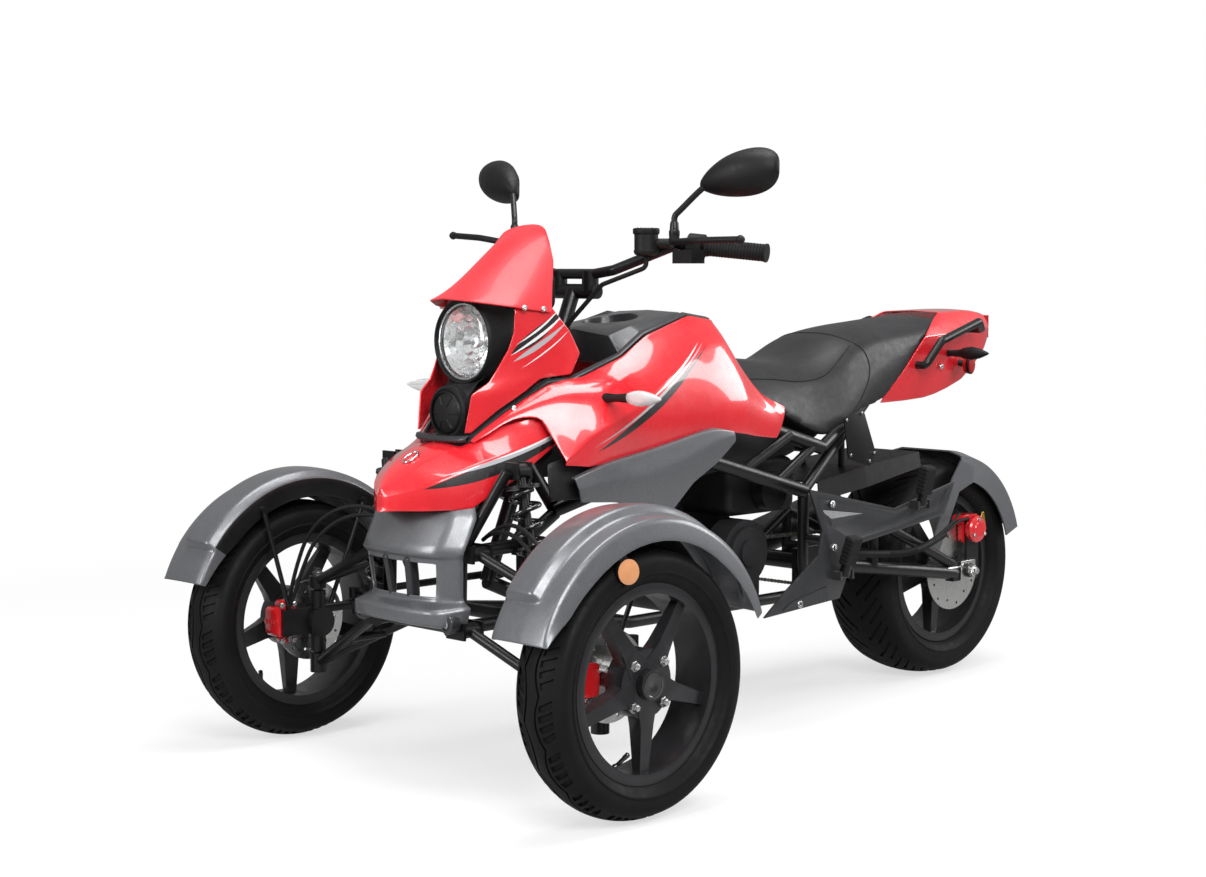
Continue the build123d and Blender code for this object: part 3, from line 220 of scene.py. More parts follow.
def raise_height(tree, shader, height, strength, depth):
    bump = put(tree, "ShaderNodeBump", {"Strength": strength, "Distance": depth, "Height": height})
    tree.links.new(bump.outputs[0], shader.inputs["Normal"])


# %% [markdown]
# The red panels are moulded in gloss plastic under clear lacquer. The lacquer is the shader's own coat, and
# a very fine ripple gives the slight orange peel of sprayed lacquer. The printed swooshes are worked out
# from two end points in side view: a point is on a swoosh when it lies between the ends and close enough to
# a bowed line, so the print stays sharp at any distance.


# %% Printed swooshes on the red panels
def swoosh(tree, spot, start, end, half_width, bow, lead):
    place = put(tree, "ShaderNodeSeparateXYZ", {0: spot}).outputs
    (x0, z0), (x1, z1) = start, end
    run = hypot(x1 - x0, z1 - z0)
    ux, uz = (x1 - x0) / run, (z1 - z0) / run

    def line(a, b, c):
        return calc(tree, "MULTIPLY_ADD", place[2], b, calc(tree, "MULTIPLY_ADD", place[0], a, c))

    share = line(ux / run, uz / run, -(x0 * ux + z0 * uz) / run)
    aside = line(-uz, ux, x0 * uz - z0 * ux)
    arch = calc(tree, "MULTIPLY", share, calc(tree, "SUBTRACT", 1.0, share))
    distance = calc(tree, "ABSOLUTE", calc(tree, "MULTIPLY_ADD", arch, -4 * bow, aside))
    weight = calc(tree, "MULTIPLY_ADD", share, -2 * lead, 1 + lead)
    allowed = calc(tree, "MULTIPLY", calc(tree, "MULTIPLY", arch, weight), 4 * half_width)
    return calc(tree, "LESS_THAN", distance, allowed)


def red_lacquer(name, dark, light, roughness, swooshes=(), lacquer=1.0):
    finish, tree, shader, spot = new_finish(name)
    colour = two_tone(tree, cloudy(tree, spot, 6.0, 0.0, 1.0), dark, light)
    for start, end, half_width, bow, lead, ink in swooshes:
        printed = swoosh(tree, spot, start, end, half_width, bow, lead)
        mix = put(tree, "ShaderNodeMix", {0: printed, 6: colour, 7: (*ink, 1)}, data_type="RGBA")
        colour = mix.outputs[2]
    look = {
        "Base Color": colour,
        "Roughness": cloudy(tree, spot, 40.0, roughness - 0.04, roughness + 0.05),
        "Coat Weight": lacquer,
        "Coat Roughness": 0.04,
        "IOR": 1.48,
    }
    feed(tree, shader, look)
    peel = put(tree, "ShaderNodeTexNoise", {"Vector": spot, "Scale": 420.0, "Detail": 1.0})
    raise_height(tree, shader, peel.outputs["Fac"], 0.02, 0.001)
    return finish


# %% Inks and the red panels
ink_black = (0.012, 0.012, 0.013)
ink_silver = (0.42, 0.42, 0.44)
ink_white = (0.80, 0.80, 0.80)
red_dark = (0.64, 0.010, 0.018)
red_light = (0.74, 0.016, 0.026)
nose_prints = (
    # start, end, half width, bow, how much fuller the start is, ink
    ((0.925, 0.600), (0.570, 0.722), 0.0120, 0.006, 0.7, ink_black),
    ((0.890, 0.626), (0.580, 0.724), 0.0048, 0.006, 0.2, ink_silver),
    ((0.800, 0.654), (0.600, 0.724), 0.0018, 0.006, 0.0, ink_white),
)
lamp_cowl_prints = (
    ((0.720, 0.862), (0.600, 0.952), 0.0120, 0.002, 0.4, ink_black),
    ((0.722, 0.858), (0.596, 0.944), 0.0030, 0.002, 0.0, ink_white),
    ((0.716, 0.846), (0.590, 0.928), 0.0050, 0.002, 0.5, ink_silver),
    ((0.710, 0.880), (0.612, 0.950), 0.0022, 0.002, 0.0, ink_white),
    ((0.700, 0.832), (0.590, 0.908), 0.0014, 0.002, 0.0, ink_white),
)
tank_prints = (
    ((0.590, 0.662), (0.215, 0.872), 0.0075, 0.004, 0.6, ink_black),
    ((0.600, 0.672), (0.225, 0.876), 0.0030, 0.005, 0.0, ink_silver),
    ((0.480, 0.748), (0.240, 0.876), 0.0022, 0.005, 0.0, ink_white),
    ((0.520, 0.704), (0.300, 0.818), 0.0012, 0.004, 0.0, ink_black),
)
gloss = 0.26
nose_red = red_lacquer("nose_red_lacquer", red_dark, red_light, gloss, nose_prints)
cowl_red = red_lacquer("cowl_red_lacquer", red_dark, red_light, gloss, lamp_cowl_prints)
tank_red = red_lacquer("tank_red_lacquer", red_dark, red_light, gloss, tank_prints)
tail_red = red_lacquer("tail_red_lacquer", red_dark, red_light, gloss)
visor_red = red_lacquer("visor_red_satin", (0.66, 0.022, 0.032), (0.74, 0.030, 0.040), 0.42, lacquer=0.15)
print("red finishes with", len(nose_prints) + len(lamp_cowl_prints) + len(tank_prints), "swooshes")

# %% [markdown]
# The fenders, bumper, tank top and foot panels are grey plastic with fine metal flake. Each cell of a
# Voronoi texture is taken for one flake: its random grey shifts the colour, and the cells are half a
# millimetre across.


# %% Gunmetal flake
def flake_grey(name, dark, light, roughness):
    finish, tree, shader, spot = new_finish(name)
    flakes = put(tree, "ShaderNodeTexVoronoi", {"Vector": spot, "Scale": 1600.0})
    glint = put(tree, "ShaderNodeSeparateColor", {0: flakes.outputs["Color"]})
    slow = cloudy(tree, spot, 5.0, -0.12, 0.12)
    tints = {0: glint.outputs[0], 1: slow}
    amount = put(tree, "ShaderNodeMath", tints, operation="ADD", use_clamp=True).outputs[0]
    look = {
        "Base Color": two_tone(tree, amount, dark, light),
        "Roughness": cloudy(tree, spot, 60.0, roughness - 0.05, roughness + 0.06),
        "Metallic": 0.55,
        "Coat Weight": 0.45,
        "Coat Roughness": 0.14,
    }
    feed(tree, shader, look)
    raise_height(tree, shader, glint.outputs[1], 0.03, 0.0004)
    return finish


gunmetal = flake_grey("gunmetal_flake", (0.105, 0.108, 0.116), (0.185, 0.188, 0.20), 0.40)
dark_gunmetal = flake_grey("dark_gunmetal_flake", (0.026, 0.027, 0.029), (0.052, 0.053, 0.057), 0.42)

# %% [markdown]
# Black is several things here: powder coat on the tubes, grained plastic on the switches, cast metal on the
# engine, enamel on the wheels and springs, and rubber. They share one recipe, and the size and depth of the
# grain and the roughness tell them apart.


# %% Blacks and rubber
def grained(name, dark, light, roughness, grain, depth, metallic=0.0, coat=0.0, gleam=0.5):
    finish, tree, shader, spot = new_finish(name)
    look = {
        "Base Color": two_tone(tree, cloudy(tree, spot, 9.0, 0.0, 1.0), dark, light),
        "Roughness": cloudy(tree, spot, 70.0, roughness - 0.06, roughness + 0.07),
        "Metallic": metallic,
        "Specular IOR Level": gleam,
        "Coat Weight": coat,
        "Coat Roughness": 0.12,
    }
    feed(tree, shader, look)
    pebbles = put(tree, "ShaderNodeTexVoronoi", {"Vector": spot, "Scale": grain}, feature="SMOOTH_F1")
    raise_height(tree, shader, pebbles.outputs["Distance"], 0.35, depth)
    return finish


powder_black = grained(
    "powder_coat_black", (0.0048, 0.0048, 0.0054), (0.0084, 0.0084, 0.0090), 0.36, 900.0, 0.0002, coat=0.08,
    gleam=0.32,
)
switch_black = grained(
    "grained_plastic_black", (0.0055, 0.0055, 0.0060), (0.0094, 0.0094, 0.0099), 0.50, 700.0, 0.0004,
    gleam=0.24,
)
engine_black = grained(
    "cast_metal_black", (0.0150, 0.0150, 0.0165), (0.0285, 0.0285, 0.0307), 0.46, 420.0, 0.0005,
    metallic=0.3, gleam=0.4,
)
wheel_black = grained(
    "wheel_enamel_black", (0.020, 0.020, 0.022), (0.032, 0.032, 0.035), 0.34, 1100.0, 0.0001, metallic=0.5,
    coat=0.12,
)
gloss_black = grained(
    "gloss_spring_black", (0.006, 0.006, 0.007), (0.010, 0.010, 0.011), 0.20, 900.0, 0.0001, coat=0.6,
)
soft_rubber = grained(
    "soft_rubber_black", (0.0056, 0.0056, 0.0056), (0.0098, 0.0098, 0.0098), 0.62, 500.0, 0.0004,
    gleam=0.22,
)
tyre_rubber = grained(
    "tyre_rubber", (0.0042, 0.0042, 0.0042), (0.0072, 0.0072, 0.0072), 0.56, 260.0, 0.0005, gleam=0.14,
)

# %% [markdown]
# Bare metals: the brake discs are turned on a lathe, so their scratches run in rings round the axle. A Wave
# texture draws rings only round its own origin, so the place of a point is first measured from the axle.


# %% Bare metals
def bare_metal(name, dark, light, roughness, grain=60.0):
    finish, tree, shader, spot = new_finish(name)
    look = {
        "Base Color": two_tone(tree, cloudy(tree, spot, grain, 0.0, 1.0), dark, light),
        "Roughness": cloudy(tree, spot, grain * 4, roughness - 0.06, roughness + 0.08),
        "Metallic": 1.0,
    }
    feed(tree, shader, look)
    return finish


def turned_steel(name, axle):
    finish, tree, shader, spot = new_finish(name)
    about = put(tree, "ShaderNodeVectorMath", {0: spot, 1: axle}, operation="SUBTRACT").outputs[0]
    scratches = {"Vector": about, "Scale": 260.0, "Distortion": 1.5, "Detail": 2.0}
    rings = put(tree, "ShaderNodeTexWave", scratches, wave_type="RINGS", rings_direction="Y").outputs["Fac"]
    look = {
        "Base Color": two_tone(tree, rings, (0.46, 0.46, 0.45), (0.66, 0.66, 0.65)),
        "Roughness": cloudy(tree, spot, 90.0, 0.24, 0.36),
        "Metallic": 1.0,
    }
    feed(tree, shader, look)
    raise_height(tree, shader, rings, 0.12, 0.0003)
    return finish


zinc = bare_metal("zinc_fastener", (0.50, 0.50, 0.50), (0.66, 0.66, 0.65), 0.28)
chrome = bare_metal("mirror_chrome", (0.82, 0.82, 0.83), (0.90, 0.90, 0.90), 0.10, 20.0)
reflector_silver = bare_metal("reflector_silver", (0.90, 0.91, 0.92), (0.96, 0.96, 0.96), 0.24, 20.0)
gold = bare_metal("gold_anodised", (0.62, 0.38, 0.07), (0.75, 0.48, 0.10), 0.26)
chain_steel = bare_metal("oiled_chain_steel", (0.14, 0.13, 0.12), (0.30, 0.29, 0.27), 0.36)
caliper_red = red_lacquer("caliper_red_enamel", (0.60, 0.010, 0.014), (0.70, 0.015, 0.020), 0.30)

# %% [markdown]
# Lenses are clear or tinted plastic that light passes through. Transmission does that, and a colour on the
# shader tints what is seen through it. A faint noise in the roughness keeps a lens from looking like a
# hole.


# %% Lenses
def lens_plastic(name, colour, transmission, roughness):
    finish, tree, shader, spot = new_finish(name)
    faded = tuple(0.86 * c for c in colour)
    look = {
        "Base Color": two_tone(tree, cloudy(tree, spot, 30.0, 0.0, 1.0), faded, colour),
        "Roughness": cloudy(tree, spot, 140.0, roughness, roughness + 0.05),
        "Transmission Weight": transmission,
        "IOR": 1.49,
    }
    feed(tree, shader, look)
    return finish


clear_lens = lens_plastic("clear_lens", (0.97, 0.98, 0.98), 1.0, 0.01)
white_lens = lens_plastic("milky_lens", (0.92, 0.92, 0.92), 0.45, 0.10)
red_lens = lens_plastic("red_lens", (0.62, 0.012, 0.016), 0.35, 0.10)
amber_lens = lens_plastic("amber_reflector", (0.80, 0.36, 0.16), 0.10, 0.16)
print("finishes:", len(bpy.data.materials))

# %% [markdown]
# Solids that are already true to the real piece, such as the tubes, the engine and the discs, stay as they
# are. They get a finish and smooth shading, with a sharp edge kept wherever two faces meet at a clear
# angle. Parts with broad flat faces also get a narrow bevel, because a moulded edge always catches a thin
# line of light. Solids that a finer mesh replaces further down need no finish here.


# %% Dressing a solid
def dress(name, finish, bevel=0.0):
    piece = solids[name]
    mesh = piece.data
    mesh.materials.clear()
    mesh.materials.append(finish)
    mesh.polygons.foreach_set("material_index", [0] * len(mesh.polygons))
    mesh.shade_smooth()
    mesh.set_sharp_from_angle(angle=radians(32))
    if bevel:
        weld = piece.modifiers.new("join_corners", "WELD")
        weld.merge_threshold = 0.00002
        edge = piece.modifiers.new("moulded_edge", "BEVEL")
        edge.width = bevel
        edge.segments = 2
        edge.limit_method = "ANGLE"
        edge.angle_limit = radians(28)
        edge.harden_normals = False


# %% The solids and their finishes
axles = {
    "front_left": (0.795, 0.525, 0.262),
    "front_right": (0.795, -0.525, 0.262),
    "rear": (-0.795, 0.0, 0.275),
}
side_signs = {"left": 1, "right": -1}  # the sign of Y on each side
for wheel, axle in axles.items():
    dress("disc_" + wheel, turned_steel("turned_steel_" + wheel, axle))
    dress("rim_" + wheel, wheel_black, 0.0016)
for side_name in side_signs:
    dress("knuckle_" + side_name, powder_black)
    dress("caliper_front_" + side_name, caliper_red, 0.0015)
    dress("tie_rod_" + side_name, powder_black)
    for rider in ("rider", "passenger"):
        dress("peg_%s_%s" % (rider, side_name), powder_black)
plain_finishes = {
    "control_arms": powder_black,
    "shock_dampers": powder_black,
    "shock_springs": gloss_black,
    "frame": powder_black,
    "engine": engine_black,
    "airbox": switch_black,
    "exhaust": engine_black,
    "swingarm": powder_black,
    "rear_caliper": caliper_red,
    "rear_fender": gunmetal,
    "rear_hugger": switch_black,
    "instrument": switch_black,
    "tail_lamp": red_lens,
    "grab_rails": powder_black,
    "handlebar": powder_black,
    "bar_controls": switch_black,
    "control_cables": soft_rubber,
}
for name, finish in plain_finishes.items():
    dress(name, finish)
dress("foot_panels", dark_gunmetal, 0.0016)
dress("side_plate", switch_black, 0.0006)
dress("tank_top", dark_gunmetal, 0.0025)
print("dressed with one finish:", len(plain_finishes))

# %% [markdown]
# The moulded panels are curved in two directions, with crisp creases. Each is drawn as a coarse net of
# points taken from the same sections as its solid, then smoothed by a Subdivision modifier. An edge of the
# net that gets a crease weight stays sharp. Solidify gives the panel its wall, and Mirror makes the other
# side.


# %% A smooth panel from a net of points in millimetres
mm = 0.001


def to_object(name, verts, faces, finish):
    mesh = bpy.data.meshes.new(name)
    mesh.from_pydata([tuple(v) for v in verts], [], faces)
    mesh.materials.append(finish)
    mesh.shade_smooth()
    piece = bpy.data.objects.new(name, mesh)
    bpy.context.scene.collection.objects.link(piece)
    return piece


def crease_edges(mesh, weight_of):
    layer = mesh.attributes.new("crease_edge", "FLOAT", "EDGE")
    for edge in mesh.edges:
        layer.data[edge.index].value = weight_of(*edge.vertices)


def round_off(piece, levels):
    rounded = piece.modifiers.new("rounded", "SUBSURF")
    rounded.levels = rounded.render_levels = levels
    return rounded


def panel(
    name,
    columns,
    finish,
    creases=None,
    wall=0.0036,
    mirrored=True,
    levels=3,
    cross_creases=None,
    holes=(),
):
    """columns: each a list of (x, y, z) or None, all of one length; holes: faces left out.

    creases gives a weight by the number of the row, cross_creases by the number of the column.
    """
    index = {}
    verts = []
    for i, column in enumerate(columns):
        for j, point in enumerate(column):
            if point is not None:
                index[i, j] = len(verts)
                verts.append(tuple(mm * v for v in point))
    faces = []
    for i in range(len(columns) - 1):
        for j in range(len(columns[0]) - 1):
            corners = [(i, j), (i + 1, j), (i + 1, j + 1), (i, j + 1)]
            if (i, j) not in holes and all(c in index for c in corners):
                faces.append([index[c] for c in corners])
    piece = to_object(name, verts, faces, finish)
    place_of = {number: key for key, number in index.items()}
    creases = creases or {}
    cross_creases = cross_creases or {}

    def weight_of(a, b):
        (ia, ja), (ib, jb) = place_of[a], place_of[b]
        if ja == jb:
            return creases.get(ja, 0.0)
        return cross_creases.get(ia, 0.0) if ia == ib else 0.0

    crease_edges(piece.data, weight_of)
    if mirrored:
        twin = piece.modifiers.new("other_side", "MIRROR")
        twin.use_axis = (False, True, False)
        twin.use_clip = True
        twin.merge_threshold = 0.0004
    shell = piece.modifiers.new("wall", "SOLIDIFY")
    shell.thickness = wall
    shell.offset = 0.0
    shell.edge_crease_rim = 0.7
    rounded = round_off(piece, levels)
    rounded.boundary_smooth = "PRESERVE_CORNERS"
    return piece


def fit(piece, body, node=None):
    """Let a piece ride a body, and the solid that it stands in for."""
    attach(piece, body)
    if node:
        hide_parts(node)


# %% [markdown]
# The nose is an arrow in plan: a raised middle, a sharp crease a side that runs back into a pointed arm,
# and a prow that closes at the tip. Each column of the net is one section from the lower edge up to the
# middle; the arms have no middle, so their columns stop at the inner edge.

# %% Nose cowl
nose_sections = (
    # x, then low, cheek, crease, slope, ridge as y, z and the height of the middle
    (976, (0, 553), (0, 566), (0, 580), (0, 588), (0, 595), 598),
    (962, (27, 556), (27, 571), (25, 586), (20, 594), (14, 601), 604),
    (925, (78, 557), (82, 581), (80, 605), (59, 619), (36, 631), 637),
    (880, (113, 558), (115, 592), (107, 625), (77, 641), (46, 655), 662),
    (846, (133, 561), (133, 600), (125, 640), (90, 656), (55, 670), 678),
    (814, (146, 583), (145, 618), (136, 653), (100, 665), (63, 676), 687),
    (757, (161, 613), (158, 639), (150, 665), (128, 690), (104, 713), None),
    (700, (165, 649), (164, 668), (160, 687), (150, 710), (138, 731), None),
    (640, (168, 686), (169, 697), (168, 707), (163, 718), (157, 729), None),
    (594, (171, 711), (172, 714), (172, 717), (172, 721), (171, 725), None),
)
nose_columns = [
    [(x, *p) for p in section] + [None if middle is None else (x, 0, middle)]
    for x, *section, middle in nose_sections
]
nose_panel = panel("nose_panel", nose_columns, nose_red, {0: 0.6, 2: 1.0, 4: 0.8})
fit(nose_panel, "chassis", "nose_cowl")
print("nose net:", len(nose_columns), "sections")

# %% [markdown]
# The tank cover is one moulding a side. Its front runs out into a thin wing under the trim strip, and a
# short leg points forward below it, with a notch between the two. In the net the notch is simply a gap: the
# wing uses the upper rows only and the leg the lower ones.

# %% Tank covers
cover_columns = [
    [(806, 80, 688), (805, 82, 687), (803, 86, 684), None, None, None, None],
    [(780, 90, 709), (780, 98, 707), (778, 104, 701), None, None, None, None],
    [(736, 107, 742), (736, 120, 741), (733, 128, 733), None, None, None, None],
    [(690, 121, 771), (690, 146, 760), (686, 156, 735), (673, 219, 648), (673, 219, 646), (673, 218, 643),
     (673, 218, 640)],
    [(644, 137, 797), (644, 172, 780), (642, 188, 737), (640, 222, 670), (638, 221, 660), (638, 220, 650),
     (638, 219, 637)],
    [(604, 145, 806), (602, 190, 786), (604, 209, 738), (604, 225, 698), (606, 223, 676), (608, 221, 654),
     (610, 219, 633)],
    [(560, 152, 811), (560, 204, 792), (560, 231, 754), (560, 243, 718), (560, 238, 692), (560, 231, 665),
     (560, 223, 639)],
    [(446, 153, 849), (446, 188, 824), (446, 220, 792), (446, 238, 768), (446, 240, 728), (448, 236, 692),
     (450, 229, 656)],
    [(366, 144, 891), (366, 172, 864), (366, 199, 834), (366, 219, 810), (366, 239, 750), (366, 240, 708),
     (366, 232, 670)],
    [(222, 132, 931), (222, 150, 914), (222, 168, 894), (222, 185, 872), (222, 229, 796), (222, 243, 735),
     (222, 236, 686)],
    [(142, 128, 920), (142, 142, 906), (142, 157, 890), (142, 172, 870), (142, 220, 796), (142, 238, 726),
     (142, 230, 675)],
    [(118, 144, 853), (113, 164, 838), (110, 182, 818), (106, 197, 796), (96, 219, 748), (94, 227, 706),
     (104, 224, 668)],
    [(64, 186, 760), (58, 195, 753), (52, 203, 745), (48, 209, 735), (43, 215, 712), (44, 217, 688),
     (56, 217, 662)],
    [(-22, 205, 724), (-21, 206, 717), (-18, 208, 709), (-14, 209, 700), (-7, 210, 688), (3, 212, 672),
     (16, 213, 658)],
]
tank_cover_panel = panel(
    "tank_cover_panels",
    cover_columns,
    tank_red,
    {0: 0.6, 3: 0.72, 6: 0.6},
    cross_creases={10: 0.45},
)
fit(tank_cover_panel, "chassis", "tank_covers")
print("tank cover net:", len(cover_columns), "sections a side")

# %% [markdown]
# The headlamp cowl is a cheek a side, swept back and up from the intake to the tank. The visor above it is
# a single shell bent round the lamp, with a tab a side where two screws hold it.

# %% Headlamp cowl and visor
cheek_columns = [
    [(813, 72, 705), (810, 74, 705), (807, 76, 705), (803, 78, 705)],
    [(806, 76, 746), (789, 84, 746), (770, 93, 747), (751, 99, 748)],
    [(800, 79, 782), (767, 96, 783), (731, 109, 784), (694, 119, 785)],
    [(764, 91, 806), (731, 107, 809), (696, 120, 811), (658, 129, 812)],
    [(748, 96, 830), (697, 118, 826), (640, 136, 820), (588, 146, 818)],
    [(724, 106, 872), (672, 127, 871), (616, 142, 868), (563, 146, 860)],
    [(714, 111, 905), (674, 126, 908), (632, 138, 908), (588, 142, 906)],
    [(712, 112, 944), (686, 120, 952), (658, 127, 956), (630, 131, 956)],
    [(706, 106, 966), (682, 113, 974), (656, 120, 976), (632, 124, 974)],
]
cheek_panel = panel(
    "headlamp_cheeks", cheek_columns, cowl_red, {0: 0.6, 3: 0.6}, cross_creases={2: 0.35, 0: 0.6},
)
visor_columns = [
    [(805, 0, 973), (788, 62, 968), (726, 117, 957), (680, 130, 950), (636, 139, 944)],
    [(748, 0, 1004), (726, 54, 1002), (676, 104, 998), (646, 117, 994), (622, 126, 988)],
    [(676, 0, 1060), (661, 42, 1060), (626, 82, 1056), (608, 93, 1053), (594, 101, 1048)],
    [(615, 0, 1102), (607, 30, 1101), (596, 60, 1097), (591, 72, 1093), (587, 82, 1088)],
    [(557, 0, 1126), (562, 26, 1124), (570, 46, 1119), (575, 56, 1115), (579, 64, 1110)],
]
visor_panel = panel(
    "visor_shell", visor_columns, visor_red, {0: 0.0, 4: 0.5}, cross_creases={0: 0.7, 4: 0.3},
)
fit(cheek_panel, "chassis", "headlamp_cowl")
fit(visor_panel, "chassis", "visor")
print("visor net:", len(visor_columns), "sections")

# %% [markdown]
# The tail is a tapering box open underneath. Its front edge is cut back to let the seat in, so the front
# columns hold only the lower rows.

# %% Tail cowl
tail_columns = [
    [None, None, None, (-438, 145, 713), (-438, 144, 712.5), (-439, 143, 712)],
    [None, None, None, (-540, 144, 794), (-544, 141, 754), (-548, 134, 713)],
    [None, None, (-624, 138.5, 868), (-622, 140, 866), (-628, 134, 790), (-634, 126, 716)],
    [None, (-716, 95, 908), (-668, 119, 893), (-686, 134, 864), (-690, 127, 788), (-690, 117, 722)],
    [(-746, 0, 926), (-746, 86, 922), (-750, 106, 900), (-752, 126, 868), (-752, 118, 798),
     (-752, 109, 734)],
    [(-830, 0, 929), (-830, 75, 924), (-830, 95, 900), (-830, 110, 870), (-830, 104, 810), (-830, 97, 753)],
    [(-900, 0, 929), (-900, 66, 925), (-900, 82, 901), (-900, 94, 872), (-900, 90, 828), (-900, 84, 786)],
    [(-962, 0, 921), (-962, 57, 918), (-962, 68, 900), (-962, 77, 880), (-962, 75, 854), (-962, 72, 826)],
    [(-989, 0, 913), (-989, 52, 911), (-989, 60, 897), (-989, 66, 881), (-989, 65, 866), (-989, 62, 849)],
]
tail_panel = panel("tail_shell", tail_columns, tail_red, {1: 0.45, 3: 0.7, 5: 0.5}, cross_creases={8: 0.6})
fit(tail_panel, "chassis", "tail_cowl")
print("tail net:", len(tail_columns), "sections")

# %% [markdown]
# The grey side shroud fills the space below the tank cover and carries the line of the nose back to the
# engine.

# %% Side shrouds
shroud_columns = [
    [(652, 212, 612), (654, 226, 611), (648, 231, 590), (644, 230, 577), (640, 229, 564)],
    [(560, 222, 641), (560, 236, 640), (556, 242, 604), (552, 241, 580), (548, 236, 558)],
    [(430, 228, 662), (430, 243, 661), (420, 252, 612), (408, 249, 562), (394, 241, 521)],
    [(340, 232, 680), (340, 247, 679), (332, 253, 644), (328, 251, 612), (328, 247, 583)],
    [(262, 234, 697), (262, 248, 695), (256, 251, 670), (252, 249, 645), (250, 247, 622)],
    [(197, 232, 685), (197, 246, 683), (195, 247, 677), (193, 247, 670), (192, 246, 664)],
]
shroud_panel = panel(
    "side_shroud_panels", shroud_columns, gunmetal, {0: 0.6, 1: 0.75, 2: 0.35, 4: 0.6},
    cross_creases={0: 0.6, 1: 0.4, 5: 0.4},
)
fit(shroud_panel, "chassis", "side_shrouds")

# %% [markdown]
# The bumper is a moulded box: a sloping brow, a window with two posts, and a lip that flares out below. It
# is one net with the faces of the window left out. Its top row goes up behind the nose, so no light shows
# between them.

# %% Front bumper
bumper_columns = [
    [(880, 0, 578), (908, 0, 549), (946, 0, 474), (934, 0, 463), (932, 0, 454), (925, 0, 386),
     (926, 0, 374), (958, 0, 362), (958, 0, 338), (926, 0, 328)],
    [(878, 56, 578), (904, 60, 548), (941, 70, 473), (930, 68, 463), (928, 68, 454), (921, 66, 386),
     (922, 68, 374), (955, 66, 362), (953, 68, 336), (922, 64, 327)],
    [(866, 104, 576), (888, 116, 544), (926, 112, 472), (918, 106, 462), (917, 105, 454), (911, 97, 386),
     (912, 102, 374), (941, 122, 361), (934, 132, 334), (908, 118, 325)],
    [(838, 128, 574), (846, 146, 541), (884, 149, 474), (881, 144, 462), (880, 143, 454), (876, 138, 386),
     (874, 140, 376), (874, 158, 366), (878, 152, 336), (882, 138, 327)],
]
bumper_skin = panel(
    "bumper_skin",
    bumper_columns,
    gunmetal,
    {1: 0.9, 2: 0.96, 3: 0.9, 4: 0.95, 5: 0.95, 6: 0.9, 7: 0.95, 8: 0.9},
    wall=0.005,
    levels=2,
    cross_creases={2: 0.97, 3: 0.8},
    holes=((0, 4), (1, 4)),
)
fit(bumper_skin, "chassis", "front_bumper")
post_columns = [
    [(934, 26, 460), (927, 24, 424), (922, 22, 382)],
    [(936, 31, 460), (930, 29, 424), (925, 27, 382)],
    [(934, 40, 460), (927, 38, 424), (922, 36, 382)],
    [(912, 42, 460), (906, 40, 424), (902, 38, 382)],
]
bumper_posts = panel(
    "bumper_posts", post_columns, dark_gunmetal, {0: 0.5, 2: 0.5}, wall=0.004, levels=2,
    cross_creases={1: 0.5, 2: 0.5},
)
fit(bumper_posts, "chassis")
print("bumper net:", len(bumper_columns), "columns a side")

# %% [markdown]
# Behind the shrouds a black liner closes the view through the frame, as the inner covers of the real one
# do.

# %% Inner liner
liner_columns = [
    [(688, 176, 640), (690, 180, 600), (684, 180, 566)],
    [(600, 196, 664), (604, 206, 612), (600, 206, 566)],
    [(470, 190, 690), (470, 204, 630), (466, 206, 566)],
    [(330, 168, 706), (326, 176, 640), (322, 178, 566)],
    [(180, 138, 712), (176, 146, 640), (172, 146, 584)],
    [(20, 124, 704), (18, 132, 640), (14, 132, 596)],
    [(-120, 118, 690), (-122, 124, 650), (-124, 122, 604)],
    [(-200, 128, 700), (-202, 132, 672), (-204, 130, 636)],
    [(-290, 126, 730), (-292, 130, 712), (-294, 128, 690)],
]
liner = panel("inner_liner", liner_columns, engine_black, {0: 0.5, 2: 0.5}, wall=0.003, levels=2)
fit(liner, "chassis")
print("liner net:", len(liner_columns), "columns a side")

# %% [markdown]
# A front fender is a ring segment round its tyre with a raised crown, a groove beside it and an outer
# skirt. Its section is one row of points, swept round the axle. The crown sinks into the section at both
# ends, and the skirts run out towards the front, so the tip of the fender is only its top.


# %% Front fenders
front_x, front_y, front_z = (1000 * v for v in axles["front_left"])
front_tyre_r = 262
inner_skirt, outer_skirt = -70, 76
fender_section = (
    # height over the tyre, extra height of the crown, place across
    (10, 0, inner_skirt),
    (50, 2, -67),
    (54, 14, -54),
    (56, 16, -24),
    (56, 16, 14),
    (55, 0, 27),
    (53, 0, 48),
    (50, 1, 66),
    (8, 0, outer_skirt),
)
fender_shares = [0, 0.03, 0.06, 0.085, 0.10, 0.112, 0.135, 0.17, 0.21, 0.26]
fender_shares += [0.31 + 0.05 * n for n in range(13)]
fender_shares += [0.95, 0.975, 1]
fender_start, fender_sweep = 20, 141  # degrees, from straight forward and upwards
crown_start = 0.105  # share of the sweep where the crown steps up
skirt_edge, skirt_drop = 300, 37  # the outer skirt ends on a circle centred below the axle


def fender_columns(side):
    columns = []
    for share in fender_shares:
        swell = (1.0 if share > crown_start else 0.0) * min(1.0, max(0.0, (0.985 - share) / 0.06))
        column = []
        angle = radians(fender_start + fender_sweep * share)
        for offset, crown, across in fender_section:
            radius = front_tyre_r + offset + crown * swell
            if across == outer_skirt:
                edge = sqrt(skirt_edge**2 - (skirt_drop * cos(angle)) ** 2) - skirt_drop * sin(angle)
                radius = max(radius, edge, 309 - 330 * share)
            if across == inner_skirt:
                radius = max(radius, 300 - 170 * share)
            x, z = front_x + radius * cos(angle), front_z + radius * sin(angle)
            column.append((x, side * (front_y + across), z))
        columns.append(column)
    return columns


